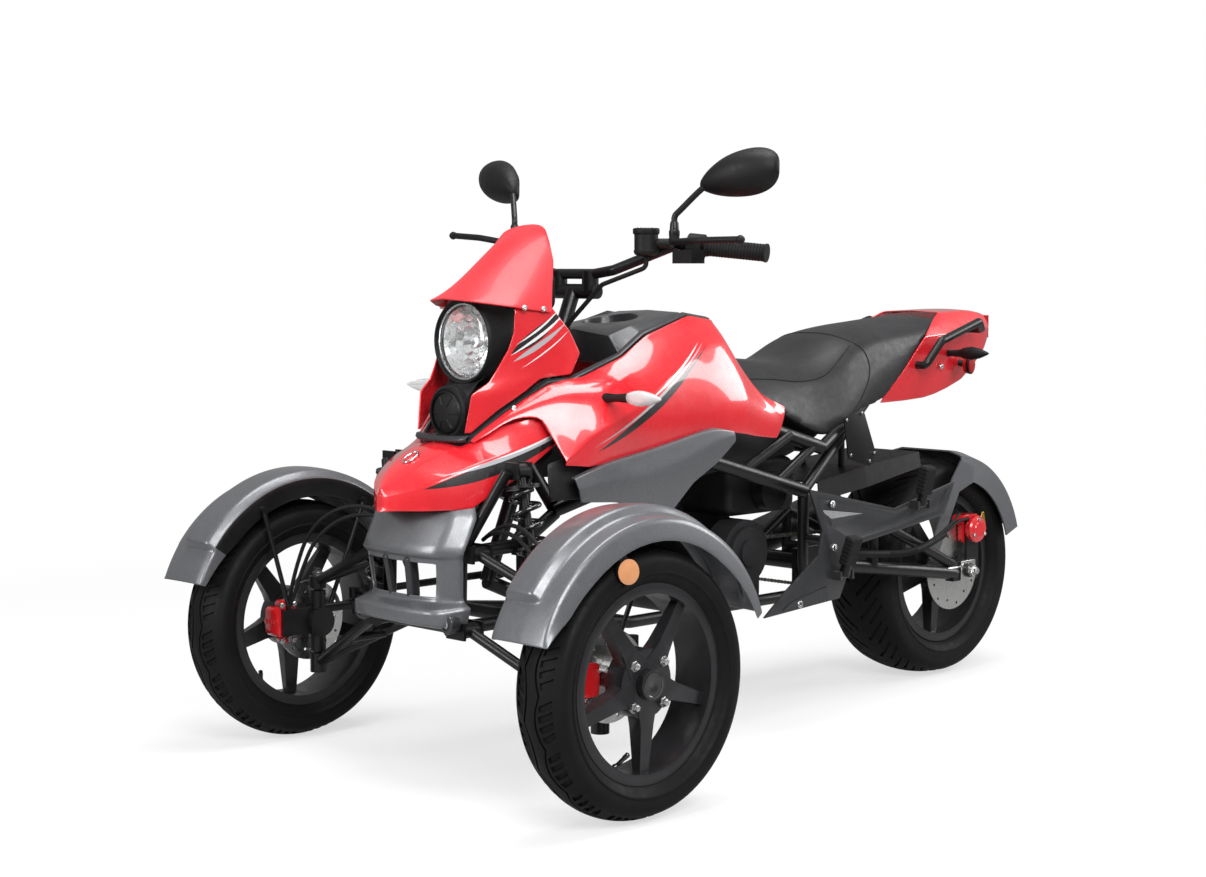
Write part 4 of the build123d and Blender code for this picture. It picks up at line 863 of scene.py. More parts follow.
fender_creases = {1: 0.75, 2: 0.85, 4: 0.9, 5: 0.85, 7: 0.85}
for side_name, side in side_signs.items():
    fender = panel(
        "fender_skin_" + side_name,
        fender_columns(side),
        gunmetal,
        fender_creases,
        wall=0.0032,
        mirrored=False,
        levels=2,
        cross_creases={4: 0.9, 5: 0.9},
    )
    # Painted shade: behind the crown step the inner skirt gets black powder coat where the body shades it.
    # The skirt is the same grey plastic, and its lit front end keeps the grey.
    fender.data.materials.append(powder_black)
    for face in fender.data.polygons:
        section, row = divmod(face.index, len(fender_section) - 1)
        if row == 0 and fender_shares[section] > 0.1:
            face.material_index = 1
    fit(fender, "knuckle_" + side_name, "fender_front_" + side_name)
print("fender net:", len(fender_shares), "sections a side")

# %% [markdown]
# Tread is geometry, not bump: it shows on the outline of the tyre. A fine even grid would need millions of
# faces, so the grid is laid along the grooves. One pitch of the tread is described by a few columns, with a
# pair of columns at each groove wall, and is repeated round the tyre. On the front tyres a wavy groove runs
# beside the middle and each wave holds four slits. The rear tyre has long slanted grooves.


# %% Tyre from a tread pitch
crown_sag, shoulder_inset = 13.0, 15.5  # how far the tread falls to its shoulder, and the shoulder's margin
rim_top, bead_seat = 192, 178.2  # radii of the rim's lip and of the seat inside it


def arc_points(start, middle, end, count):
    (ax, ay), (bx, by), (cx, cy) = start, middle, end
    d = 2 * (ax * (by - cy) + bx * (cy - ay) + cx * (ay - by))
    aa, bb, cc = ax**2 + ay**2, bx**2 + by**2, cx**2 + cy**2
    ux = (aa * (by - cy) + bb * (cy - ay) + cc * (ay - by)) / d
    uy = (aa * (cx - bx) + bb * (ax - cx) + cc * (bx - ax)) / d
    r = hypot(ax - ux, ay - uy)
    first = atan2(ay - uy, ax - ux)
    turn = (atan2(cy - uy, cx - ux) - first + pi) % (2 * pi) - pi
    angles = [first + turn * k / count for k in range(1, count + 1)]
    return [(ux + r * cos(a), uy + r * sin(a)) for a in angles]


def side_wall(radius, half, bead_half):
    shoulder = radius - crown_sag
    widest = ((radius + rim_top) / 2, half)
    wall = arc_points((shoulder, half - shoulder_inset), (shoulder - 7, half - 5), widest, 5)
    wall += arc_points(widest, (206, half - 5), (rim_top, bead_half), 6)
    wall.insert(7, (wall[6][0] - 1.0, wall[6][1] + 1.2))
    wall.insert(8, (wall[7][0] - 3.0, wall[7][1] - 0.2))
    return wall + [(bead_seat, bead_half)]


def treaded_tyre(name, axle, radius, half, bead_half, pitches, cuts, rows, groove, slant):
    """cuts: places along a pitch, 0 to 1; rows: (place across, wave); groove: depth at a cut and a row."""
    hub_x, hub_y, hub_z = (1000 * v for v in axle)
    shoulder_half = half - shoulder_inset
    crown_r = (shoulder_half**2 + crown_sag**2) / (2 * crown_sag)
    wall = side_wall(radius, half, bead_half)
    loops = []
    for n in range(pitches):
        for cut in cuts:
            loop = []
            for sign in (-1, 1):
                lane = []
                shift = (cut + (0.5 if sign < 0 else 0.0)) % 1.0
                for across, wave in rows:
                    y = across - wave * sin(pi * shift)
                    r = radius - (crown_r - sqrt(crown_r**2 - y**2)) - groove(shift, across)
                    lane.append((r, y, slant * (across / shoulder_half) ** 1.3))
                lane += [(r, y, slant) for r, y in wall]
                lane = [(r, sign * y, lean) for r, y, lean in lane]
                loop += lane[::-1] if sign < 0 else lane[1:]
            turn = 2 * pi * (n + cut) / pitches
            spun = [(r * cos(turn + lean), y, r * sin(turn + lean)) for r, y, lean in loop]
            loops.append([(hub_x + x, hub_y + y, hub_z + z) for x, y, z in spun])
    count = len(loops[0])
    verts = [tuple(mm * v for v in p) for loop in loops for p in loop]
    faces = []
    for i in range(len(loops)):
        here, after = i * count, (i + 1) % len(loops) * count
        for j in range(count - 1):
            faces.append((here + j, here + j + 1, after + j + 1, after + j))
        faces.append((here + count - 1, here, after, after + count - 1))
    tyre = to_object(name, verts, faces, tyre_rubber)
    tyre.data.set_sharp_from_angle(angle=radians(38))
    return tyre


# %% Tread of the front and rear tyres
slit_starts = (0.10, 0.30, 0.50, 0.70)
front_cuts = sorted(
    {0.0, 0.04, 0.96}
    | {round(start + step, 3) for start in slit_starts for step in (-0.012, 0.0, 0.05, 0.10, 0.112, 0.156)}
)
front_rows = (
    (0, 0), (7, 5), (18.4, 11), (19, 11), (22.4, 11), (23, 11), (25.4, 8), (26, 8), (32, 4), (38, 0),
    (45, 0), (45.6, 0), (47, 0),
)


def front_groove(cut, across):
    if 19 <= across <= 22.4:
        return 5.0
    if 26 <= across <= 45 and any(start - 0.001 <= cut <= start + 0.101 for start in slit_starts):
        return 4.5
    return 0.0


rear_cuts = sorted(
    {0.0, 0.09, 0.10, 0.16, 0.22, 0.23, 0.32, 0.41, 0.50, 0.59, 0.60, 0.66, 0.72, 0.73, 0.82, 0.91}
)
rear_rows = (
    (0, 0), (4, 0), (10, 0), (11, 0), (24, 0), (34, 0), (35, 0), (48, 0), (62, 0), (66, 0), (67, 0),
    (72, 0), (78, 0),
)


def rear_groove(cut, across):
    if 0.099 <= cut <= 0.221 and 11 <= across <= 66:
        return 5.0
    if 0.599 <= cut <= 0.721 and 35 <= across <= 72:
        return 5.0
    return 0.0


front_tread = (262, 62.5, 46, 16, front_cuts, front_rows, front_groove, 0.10)
rear_tread = (275, 95, 72, 26, rear_cuts, rear_rows, rear_groove, 0.30)
for wheel, tread in (("front_left", front_tread), ("front_right", front_tread), ("rear", rear_tread)):
    tyre = treaded_tyre("tread_" + wheel, axles[wheel], *tread)
    fit(tyre, "wheel_" + wheel, "tyre_" + wheel)
    print(tyre.name, len(tyre.data.polygons), "faces")

# %% [markdown]
# The rim needs its small parts: bright nuts, a cap with a stepped face, and the tyre valve. Turned parts
# are made by one helper that spins a profile round a line, and parts that belong together become one mesh.
# Lofted parts are rings of points, and another helper joins such rings into a skin.


# %% Turned and lofted parts
def round_points(sides):
    return [(cos(2 * pi * k / sides), sin(2 * pi * k / sides)) for k in range(sides)]


def turned(bm, profile, place, axis, sides=32):
    """Spin (radius, along) pairs in millimetres round an axis through place, in metres."""
    axis = Vector(axis).normalized()
    across = axis.orthogonal().normalized()
    other = axis.cross(across)
    rings = []
    for radius, along in profile:
        centre = Vector(place) + axis * (mm * along)
        if radius < 0.01:
            rings.append([bm.verts.new(centre)])
        else:
            spokes = [c * across + s * other for c, s in round_points(sides)]
            rings.append([bm.verts.new(centre + mm * radius * spoke) for spoke in spokes])
    for low, high in zip(rings, rings[1:]):
        for k in range(sides):
            after = k + 1
            loop = [low[k % len(low)], low[after % len(low)], high[after % len(high)], high[k % len(high)]]
            corners = list(dict.fromkeys(loop))
            if len(corners) > 2:
                bm.faces.new(corners)


def skin_rings(bm, rings, capped=True):
    """Join rings of points, all of one length, and close both ends."""
    count = len(rings[0])
    for low, high in zip(rings, rings[1:]):
        for k in range(count):
            after = (k + 1) % count
            bm.faces.new((low[k], low[after], high[after], high[k]))
    if capped:
        bm.faces.new(rings[0][::-1])
        bm.faces.new(rings[-1])


def from_bmesh(name, bm, finish, body, angle=35):
    bmesh.ops.recalc_face_normals(bm, faces=bm.faces)
    mesh = bpy.data.meshes.new(name)
    bm.to_mesh(mesh)
    bm.free()
    mesh.materials.append(finish)
    mesh.shade_smooth()
    mesh.set_sharp_from_angle(angle=radians(angle))
    piece = bpy.data.objects.new(name, mesh)
    bpy.context.scene.collection.objects.link(piece)
    if body:
        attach(piece, body)
    return piece


# %% [markdown]
# The front rims are held by four nuts and closed by a cap in the middle, and the valve leans out of the
# rim. The rear axle runs right through the swingarm and has a nut a side.

# %% Wheel nuts, caps and valves
nut_profile = ((0, 30), (10.8, 30), (10.8, 47), (9.4, 48.5), (8.2, 52), (5.4, 55.4), (2.4, 56.8), (0, 57.2))
cap_profile = (
    (30.4, 37), (30.4, 41), (29.9, 50), (26.5, 56.6), (22.5, 57.4), (21.0, 56.6), (5.0, 56.8), (3.6, 56.2),
    (0, 56.4),
)
valve_profile = ((6.5, -8), (6.5, 4), (4.2, 8), (4.2, 26), (5.0, 27), (5.0, 37), (3.5, 39), (0, 39))
axle_nut_profile = (
    (0, 158), (15.5, 158), (15.5, 172), (13.5, 174), (9, 174), (9, 181), (7.6, 183), (0, 183),
)
nut_circle_r, valve_r = 0.055, 0.166
valve_turn = radians(-64)
for wheel, outward in (("front_left", 1), ("front_right", -1)):
    axle = Vector(axles[wheel])
    nuts = bmesh.new()
    caps = bmesh.new()
    for n in range(4):
        turn = radians(45 + 90 * n)
        nut_place = axle + Vector((nut_circle_r * cos(turn), 0, nut_circle_r * sin(turn)))
        turned(nuts, nut_profile, nut_place, (0, outward, 0), 6)
    turned(caps, cap_profile, axle, (0, outward, 0), 40)
    valve_root = axle + Vector((valve_r * cos(valve_turn), outward * 0.026, valve_r * sin(valve_turn)))
    inward = Vector((-cos(valve_turn), outward * 0.75, -sin(valve_turn)))
    turned(caps, valve_profile, valve_root, inward, 16)
    from_bmesh("wheel_nuts_" + wheel, nuts, zinc, "wheel_" + wheel, 25)
    from_bmesh("hub_cap_" + wheel, caps, gloss_black, "wheel_" + wheel, 25)
rear_fittings = bmesh.new()
for outward in (1, -1):
    turned(rear_fittings, axle_nut_profile, axles["rear"], (0, outward, 0), 6)
from_bmesh("rear_axle_nuts", rear_fittings, zinc, "chassis", 25)
print("wheel fittings done")

# %% [markdown]
# The headlamp shows into its depth, so its solid housing is exchanged for a hollow one: a black bowl, a
# bright reflector in it, a bulb behind a small shield, and a thin clear dome in front. The reflector is not
# a plain dish. It is cut into wedges and steps, each tilted a little, which is what breaks the light into
# blocks.

# %% Headlamp bowl, bezel and intake cover
lamp_axis = (1, 0, 0)
lamp_z, intake_z = 0.885, 0.742
lamp_heart = Vector((0.0, 0.0, lamp_z))
bowl_outside = ((0, 641), (60, 641), (76, 650), (87.5, 668), (88, 700), (88.5, 748))
bezel = (
    (87.5, 755), (85, 758), (82, 757.5), (80.4, 753), (79.5, 748), (77.6, 748), (76.5, 744), (76.5, 741),
)
bowl_inside = ((75, 739), (66, 712), (46, 690), (20, 682), (0, 682))
intake_tube = ((0, 690), (55, 690), (56, 694), (56, 790), (55, 796), (51, 800))
intake_lip = ((48, 800), (46.5, 797.5), (44.5, 797.5), (43, 800), (41, 803))
bowl = bmesh.new()
turned(bowl, bowl_outside + bezel + bowl_inside, lamp_heart, lamp_axis, 64)
turned(bowl, intake_tube + intake_lip, (0.0, 0.0, intake_z), lamp_axis, 64)
lamp_bowl = from_bmesh("headlamp_bowl", bowl, switch_black, "chassis")
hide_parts("lamp_housing")
print("bowl faces:", len(lamp_bowl.data.polygons))

# %% [markdown]
# The round cap in the intake is a low dome with six ribs. It is a grid of rings and spokes, and the points
# that lie close to a rib are lifted. Between the cap and the headlamp a curved neck closes the gap.

# %% Ribbed intake cap and the neck between the two rounds
cap_mesh = bmesh.new()
cap_steps, cap_spokes, cap_r = 14, 144, 42.0
cap_front, cap_dome = 806.0, 7.0
rib_lift, rib_half, rib_turn = 2.2, 2.2, pi / 3
rings = []
for step in range(cap_steps + 1):
    radius = cap_r * step / cap_steps
    ring = []
    for k in range(cap_spokes):
        turn = 2 * pi * k / cap_spokes
        off_rib = abs(((turn / rib_turn + 0.5) % 1.0) - 0.5) * rib_turn * radius
        rib = 1.0 if off_rib < rib_half and 5 < step < cap_steps - 1 else 0.0
        x = cap_front - cap_dome * (radius / cap_r) ** 2 + rib_lift * rib
        ring.append(
            cap_mesh.verts.new((mm * x, mm * radius * cos(turn), intake_z + mm * radius * sin(turn)))
        )
    rings.append(ring)
skin_rings(cap_mesh, rings, capped=False)
bmesh.ops.remove_doubles(cap_mesh, verts=cap_mesh.verts, dist=0.00001)
from_bmesh("intake_cap", cap_mesh, switch_black, "chassis", 24)
neck_columns = [
    [(730, -60, 822), (736, -30, 808), (738, 0, 804), (736, 30, 808), (730, 60, 822)],
    [(752, -48, 806), (757, -24, 798), (758, 0, 796), (757, 24, 798), (752, 48, 806)],
    [(766, -45, 786), (772, -24, 794), (774, 0, 797), (772, 24, 794), (766, 45, 786)],
    [(792, -50, 762), (792, -30, 786), (792, 0, 797), (792, 30, 786), (792, 50, 762)],
]
neck = panel("lamp_neck", neck_columns, switch_black, wall=0.004, mirrored=False, levels=2)
fit(neck, "chassis")
print("intake cap: 6 ribs on", cap_spokes, "spokes")

# %% [markdown]
# Every block of the reflector is one face with two corners tipped forward and two back, and the next block
# is tipped the other way. The bulb's shield and the bright ring round the glass are turned.

# %% Reflector, bulb and lens
reflector = bmesh.new()
wedge_count = 30
block_tilt = 0.8
lamp_depth = {11: 688.0, 22: 693.0, 34: 701.0, 46: 711.0, 58: 722.0, 68: 732.0, 75: 740.0}  # by radius
step_radii = tuple(lamp_depth)
for wedge in range(wedge_count):
    a0, a1 = 2 * pi * wedge / wedge_count, 2 * pi * (wedge + 1) / wedge_count
    for step, (r0, r1) in enumerate(zip(step_radii, step_radii[1:])):
        tilt = block_tilt if (wedge + step) % 2 else -block_tilt
        face = []
        for r, a, lift in ((r0, a0, tilt), (r1, a0, tilt), (r1, a1, -tilt), (r0, a1, -tilt)):
            x = lamp_depth[r] + (lift if r < step_radii[-1] else 0.0)
            face.append(reflector.verts.new((mm * x, mm * r * cos(a), lamp_z + mm * r * sin(a))))
        reflector.faces.new(face)
bulb_shield = ((0, 716), (9, 717), (10.5, 721), (9, 726), (0, 728))
bulb_stem = ((11, 684), (11, 692), (4, 694), (4, 718))
glass_ring = ((79.2, 744), (79.8, 750.5), (78, 752.5), (75.6, 752.5), (74.8, 748))
turned(reflector, bulb_shield, lamp_heart, lamp_axis, 24)
turned(reflector, bulb_stem, lamp_heart, lamp_axis, 24)
turned(reflector, glass_ring, lamp_heart, lamp_axis, 64)
from_bmesh("headlamp_reflector", reflector, reflector_silver, "chassis", 12)
dome = bmesh.new()
dome_outside = ((76.4, 744), (76.2, 749), (74, 752.5), (66, 756.4), (50, 759.6), (28, 761.5), (0, 762))
dome_inside = ((0, 759.6), (28, 759.1), (50, 757.2), (65, 754.2), (72.6, 750.6), (73.8, 747.5), (74, 744))
turned(dome, dome_outside, lamp_heart, lamp_axis, 64)
turned(dome, dome_inside + ((76.4, 744),), lamp_heart, lamp_axis, 64)
bmesh.ops.remove_doubles(dome, verts=dome.verts, dist=0.00001)
clear_dome = from_bmesh("headlamp_dome", dome, clear_lens, "chassis", 60)
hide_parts("headlamp_lens")
print("headlamp facets:", wedge_count * (len(step_radii) - 1))

# %% [markdown]
# An indicator is a short stalk that carries a leaf: blunt at the root, pointed at the tip and flattened
# front to back. In front the leaf is almost all clear lens, behind it is a black shell with a lens in its
# rear face. Each leaf is lofted from a few ovals and rounded by Subdivision.


# %% Indicators
def leaf(bm, root, tip, rows, sides=12):
    """rows: (share of the length, half height, half depth) in millimetres."""
    root, tip = Vector(root), Vector(tip)
    along = (tip - root).normalized()
    forward = Vector((1, 0, 0))
    deep = (forward - along * forward.dot(along)).normalized()
    tall = along.cross(deep)
    rings = []
    for share, height, depth in rows:
        centre = root.lerp(tip, share)
        oval = [height * c * tall + depth * s * deep for c, s in round_points(sides)]
        rings.append([bm.verts.new(centre + mm * spoke) for spoke in oval])
    skin_rings(bm, rings)


front_leaf_rows = (
    (0.0, 9, 7), (0.10, 13, 10), (0.34, 18, 13), (0.62, 15, 11), (0.88, 7, 6), (0.97, 3.4, 3),
    (1.0, 1.2, 1),
)
rear_leaf_rows = (
    (0.0, 9, 8), (0.12, 14, 11), (0.40, 17, 14), (0.70, 12, 11), (0.92, 5, 5), (1.0, 1.5, 1.5),
)
rear_lens_rows = ((0.0, 6, 5), (0.2, 11, 7), (0.6, 10, 6), (1.0, 2, 2))
stalk_rows = ((0.0, 10, 10), (0.5, 8, 8), (0.9, 10, 9), (1.0, 10, 9))
arm_rows = ((0.0, 8, 8), (1.0, 8, 8))
holder_profile = ((0, -3), (22, -3), (23, -1), (23, 3), (21, 4.6))
red_profile = ((20.6, 2.8), (20.6, 5.2), (18, 6.0), (0, 6.4))
stalks = bmesh.new()
front_leaves = bmesh.new()
rear_leaves = bmesh.new()
tail_lenses = bmesh.new()
for side in (1, -1):
    leaf(stalks, (0.555, side * 0.214, 0.771), (0.566, side * 0.292, 0.774), stalk_rows)
    leaf(front_leaves, (0.565, side * 0.284, 0.774), (0.577, side * 0.392, 0.776), front_leaf_rows)
    leaf(stalks, (-0.740, side * 0.108, 0.822), (-0.735, side * 0.170, 0.823), stalk_rows)
    leaf(stalks, (-0.735, side * 0.164, 0.823), (-0.727, side * 0.254, 0.825), rear_leaf_rows)
    leaf(rear_leaves, (-0.744, side * 0.176, 0.823), (-0.735, side * 0.240, 0.825), rear_lens_rows)
    tail_place, tail_facing = (-0.822, side * 0.132, 0.790), (-0.25, side, 0)
    turned(stalks, holder_profile, tail_place, tail_facing, 36)
    leaf(stalks, (-0.800, side * 0.092, 0.800), (-0.820, side * 0.131, 0.790), arm_rows)
    turned(tail_lenses, red_profile, tail_place, tail_facing, 36)
indicator_shells = from_bmesh("indicator_shells", stalks, switch_black, "chassis", 50)
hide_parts("indicators")
front_lenses = from_bmesh("indicator_lenses_front", front_leaves, white_lens, "chassis", 60)
rear_lenses = from_bmesh("indicator_lenses_rear", rear_leaves, amber_lens, "chassis", 60)
from_bmesh("side_reflectors_rear", tail_lenses, red_lens, "chassis", 40)
for piece in (front_lenses, rear_lenses):
    round_off(piece, 1)
print("indicators: 4, reflectors beside the tail: 2")

# %% [markdown]
# A round amber reflector stands beside each front fender, in a cup on a short flat strap that is fixed to
# the fender's skirt, so both turn with the wheel.

# %% Fender reflectors
cup_profile = ((0, -9), (20, -9), (24.6, -6), (25, 0), (24, 2.2))
amber_profile = ((23.6, 1.0), (23.6, 2.8), (21.0, 3.8), (0, 4.2))
strap_x, strap_z = 0.346, 0.938  # the way the strap points from the axle
axle_x, axle_z = axles["front_left"][0], axles["front_left"][2]
for side_name, side in side_signs.items():
    holder = bmesh.new()
    amber = bmesh.new()
    place = (0.877, side * 0.595, 0.484)
    facing = (0.16, side, 0.06)
    turned(holder, cup_profile, place, facing, 40)
    strap = []
    for radius in (0.236, 0.278):
        for half_width in (-0.010, 0.010):
            x = axle_x + strap_x * radius + strap_z * half_width
            z = axle_z + strap_z * radius - strap_x * half_width
            strap.append([holder.verts.new((x, side * y, z)) for y in (0.586, 0.5920)])
    for a, b in ((0, 1), (1, 3), (3, 2), (2, 0)):
        holder.faces.new((strap[a][0], strap[b][0], strap[b][1], strap[a][1]))
    for face in (0, 1):
        holder.faces.new([strap[k][face] for k in (0, 1, 3, 2)])
    turned(amber, amber_profile, place, facing, 40)
    knuckle = "knuckle_" + side_name
    from_bmesh("fender_reflector_holder_" + side_name, holder, switch_black, knuckle, 40)
    from_bmesh("fender_reflector_" + side_name, amber, amber_lens, knuckle, 40)
print("fender reflectors: 2")

# %% [markdown]
# Under the intake a grey sill joins the two trim strips across the nose. It is a short bar with turned down
# ends.

# %% Intake sill
sill_columns = [
    [(800, -82, 700), (812, -80, 698), (815, -79, 692), (812, -78, 687)],
    [(804, -60, 697), (820, -58, 696), (824, -57, 689), (820, -56, 684)],
    [(804, 0, 696), (824, 0, 695), (828, 0, 688), (824, 0, 683)],
    [(804, 60, 697), (820, 58, 696), (824, 57, 689), (820, 56, 684)],
    [(800, 82, 700), (812, 80, 698), (815, 79, 692), (812, 78, 687)],
]
intake_sill = panel(
    "intake_sill", sill_columns, dark_gunmetal, {1: 0.5, 2: 0.5}, wall=0.004, mirrored=False, levels=2,
)
fit(intake_sill, "chassis")
print("sill net:", len(sill_columns), "columns")

# %% [markdown]
# The seat is foam under black vinyl: a low rider's part that climbs the tank, a step, and a higher part
# behind. A plain loft would look like painted wood, so the cover will be pumped up. It starts as a net a
# little smaller than the seat, with a fold along its lower rim and at both ends. The vinyl has a fine
# pebble grain and a soft sheen.

# %% Seat vinyl
vinyl_dark, vinyl_light = (0.012, 0.012, 0.013), (0.022, 0.022, 0.024)
seat_vinyl = grained(
    "seat_vinyl_black", vinyl_dark, vinyl_light, 0.46, 520.0, 0.0005, coat=0.05, gleam=0.32,
)

# %% Seat net
seat_sections = (
    # x, height of the crown, then edge, side and rim as y, z
    (98, 836, (74, 823), (116, 799), (140, 774)),
    (24, 832, (83, 817), (130, 788), (159, 745)),
    (-50, 827, (92, 811), (141, 780), (174, 709)),
    (-115, 821, (102, 806), (151, 773), (183, 678)),
    (-170, 819, (111, 803), (160, 766), (186, 652)),
    (-215, 824, (115, 808), (164, 768), (186, 650)),
    (-265, 841, (117, 825), (165, 784), (183, 670)),
    (-310, 863, (119, 846), (163, 802), (177, 690)),
    (-348, 880, (121, 862), (158, 818), (170, 707)),
    (-430, 893, (120, 877), (149, 842), (156, 713)),
    (-490, 899, (116, 883), (145, 849), (152, 750)),
    (-556, 904, (111, 890), (139, 857), (146, 800)),
    (-600, 908, (107, 895), (135, 866), (141, 838)),
    (-634, 911, (102, 898), (130, 879), (136, 862)),
    (-690, 916, (92, 905), (119, 898), (125, 880)),
    (-734, 919, (84, 912), (108, 911), (114, 896)),
)
swell_room = 3.0
seat_net = bmesh.new()
rings = []
for x, crown, edge, flank, rim in seat_sections:
    half = [
        (0, crown),
        (0.55 * edge[0], crown - 3),
        edge,
        (0.5 * (edge[0] + flank[0]) + 4, 0.5 * (edge[1] + flank[1]) + 4),
        flank,
        (0.5 * (flank[0] + rim[0]) + 3, 0.5 * (flank[1] + rim[1])),
        rim,
    ]
    underside = [(rim[0] - 12, rim[1] + 3), (0, rim[1] + 14), (12 - rim[0], rim[1] + 3)]
    ring = []
    for y, z in half + underside + [(-y, z) for y, z in half[:0:-1]]:
        inset = swell_room if y > 60 else -swell_room if y < -60 else 0
        ring.append(seat_net.verts.new((mm * x, mm * (y - inset), mm * (z - swell_room))))
    rings.append(ring)
skin_rings(seat_net, rings)
rim_place = len(half) - 1
for ring in rings:
    for k in (rim_place, -rim_place):
        ring[k].tag = True
fold = seat_net.edges.layers.float.new("crease_edge")
end_rings = {v for ring in (rings[0], rings[-1]) for v in ring}
for edge in seat_net.edges:
    a, b = edge.verts
    if (a.tag and b.tag) or (a in end_rings and b in end_rings):
        edge[fold] = 0.95
seat_cover = from_bmesh("seat_cover", seat_net, seat_vinyl, "chassis", 180)
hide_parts("seat")

# %% [markdown]
# Blender's Cloth lets the cover swell under pressure while its lower rim is held. The first helper writes a
# piece's modifiers into its mesh, and the second runs the cloth for a few frames and gives the points
# before it and how far each one moved.


# %% Helpers that pump a cover
def bake_modifiers(piece):
    graph = bpy.context.evaluated_depsgraph_get()
    baked = bpy.data.meshes.new_from_object(piece.evaluated_get(graph))
    piece.modifiers.clear()
    piece.data = baked
    baked.shade_smooth()


def swell(piece, frames):
    before = np.array([v.co[:] for v in piece.data.vertices])
    rim_x = [mm * section[0] for section in seat_sections[::-1]]
    rim_z = [mm * section[4][1] for section in seat_sections[::-1]]
    rim_line = np.interp(before[:, 0], rim_x, rim_z)
    held = piece.vertex_groups.new(name="held_rim")
    held.add([int(k) for k in np.nonzero(before[:, 2] < rim_line + 0.012)[0]], 1.0, "REPLACE")
    cloth = piece.modifiers.new("vinyl_cover", "CLOTH")
    cloth.settings.vertex_group_mass = "held_rim"
    cloth.settings.use_pressure = True
    cloth.settings.uniform_pressure_force = 4.0
    cloth.settings.tension_stiffness = 25.0
    cloth.settings.compression_stiffness = 25.0
    cloth.settings.effector_weights.gravity = 0.0
    cloth.point_cache.frame_start, cloth.point_cache.frame_end = 1, frames
    for step in range(1, frames + 1):
        bpy.context.scene.frame_set(step)
    bake_modifiers(piece)
    bpy.context.scene.frame_set(1)
    return before, np.array([v.co[:] for v in piece.data.vertices]) - before


def even_out(moved, mesh, passes):
    edge_ends = np.array([e.vertices[:] for e in mesh.edges])
    neighbours = np.bincount(edge_ends.ravel(), minlength=len(moved))
    for calming in range(passes):
        around = np.zeros_like(moved)
        np.add.at(around, edge_ends[:, 0], moved[edge_ends[:, 1]])
        np.add.at(around, edge_ends[:, 1], moved[edge_ends[:, 0]])
        moved = around / np.maximum(neighbours, 1)[:, None]
    return moved


# %% [markdown]
# Cloth needs even squares, so the rounded net is remeshed first. The swelling is capped, so that the firm
# shape stays, and each point's move is evened out with its neighbours', so that no dents are left.

# %% Pumping the seat
cover_square, swell_cap = 0.0068, 0.0055  # metres
swell_frames, calming_passes = 20, 16
round_off(seat_cover, 2)
bake_modifiers(seat_cover)
even = seat_cover.modifiers.new("even_squares", "REMESH")
even.mode = "VOXEL"
even.voxel_size = cover_square
bake_modifiers(seat_cover)
before, moved = swell(seat_cover, swell_frames)
reach_moved = np.linalg.norm(moved, axis=1)
moved *= np.minimum(1.0, swell_cap / np.maximum(reach_moved, 1e-9))[:, None]
moved = even_out(moved, seat_cover.data, calming_passes)
seat_cover.data.vertices.foreach_set("co", (before + moved).ravel())
seat_cover.data.update()
print("seat cover swelled by", round(1000 * reach_moved.max(), 1), "mm, kept to", 1000 * swell_cap)
relax = seat_cover.modifiers.new("relaxed", "SMOOTH")
relax.factor, relax.iterations = 0.5, 6
round_off(seat_cover, 1)
bake_modifiers(seat_cover)
seat_cover.data.materials.clear()
seat_cover.data.materials.append(seat_vinyl)
print("seat cover faces:", len(seat_cover.data.polygons))

# %% [markdown]
# The seam between the two parts of the cover runs over the step and curves down each flank. Its points are
# chosen in side view and dropped onto the swollen cover, then a thin piping tube follows them. Tubes are
# needed again for hoses and cables, so the helper carries its ring smoothly along any path.


# %% Seams on the seat
def smooth_path(points, per_span=8):
    points = [Vector(p) for p in points]
    ends = [2 * points[0] - points[1]] + points + [2 * points[-1] - points[-2]]
    path = []
    for p0, p1, p2, p3 in zip(ends, ends[1:], ends[2:], ends[3:]):
        slope, bend, twist = p2 - p0, 2 * p0 - 5 * p1 + 4 * p2 - p3, 3 * p1 - p0 - 3 * p2 + p3
        for k in range(per_span):
            t = k / per_span
            path.append(0.5 * (2 * p1 + slope * t + bend * t * t + twist * t**3))
    return path + [points[-1]]


def tube(bm, path, radius, sides=10):
    """radius: metres, or a function of the point number."""
    path = [Vector(p) for p in path]
    side_way = (path[1] - path[0]).orthogonal().normalized()
    rings = []
    for k, point in enumerate(path):
        along = (path[min(k + 1, len(path) - 1)] - path[max(k - 1, 0)]).normalized()
        side_way = (side_way - along * side_way.dot(along)).normalized()
        other = along.cross(side_way)
        r = radius(k) if callable(radius) else radius
        spokes = [c * side_way + s * other for c, s in round_points(sides)]
        rings.append([bm.verts.new(point + r * spoke) for spoke in spokes])
    skin_rings(bm, rings)


seam_guides = (
    # x, y, z in millimetres, from the middle down the flank
    ((-346, 0, 884), (-350, 60, 880), (-362, 112, 866), (-384, 146, 838), (-388, 160, 800),
     (-372, 168, 764), (-336, 178, 724), (-306, 186, 702)),
    ((96, 118, 800), (20, 128, 796), (-60, 132, 790), (-150, 146, 782), (-230, 148, 790), (-300, 140, 830),
     (-350, 128, 860)),
)
piping = bmesh.new()
for guide in seam_guides:
    for side in (1, -1):
        dropped = []
        for x, y, z in smooth_path(guide, 6):
            near_seat = Vector((mm * x, side * mm * y, mm * z))
            found, spot, normal, face = seat_cover.closest_point_on_mesh(near_seat)
            dropped.append(spot + 0.0002 * normal)
        tube(piping, dropped, 0.0013, 8)
from_bmesh("seat_piping", piping, soft_rubber, "chassis", 60)
print("seat seams:", 2 * len(seam_guides))

# %% [markdown]
# A mirror is a rounded shell, thick behind the glass, and its glass faces the rider. The shell is a coarse
# eight-sided loft that Subdivision rounds off; the glass is a slightly domed oval set into its rear face.
# The stem is a bent rod with a nut and a rubber boot at its foot.

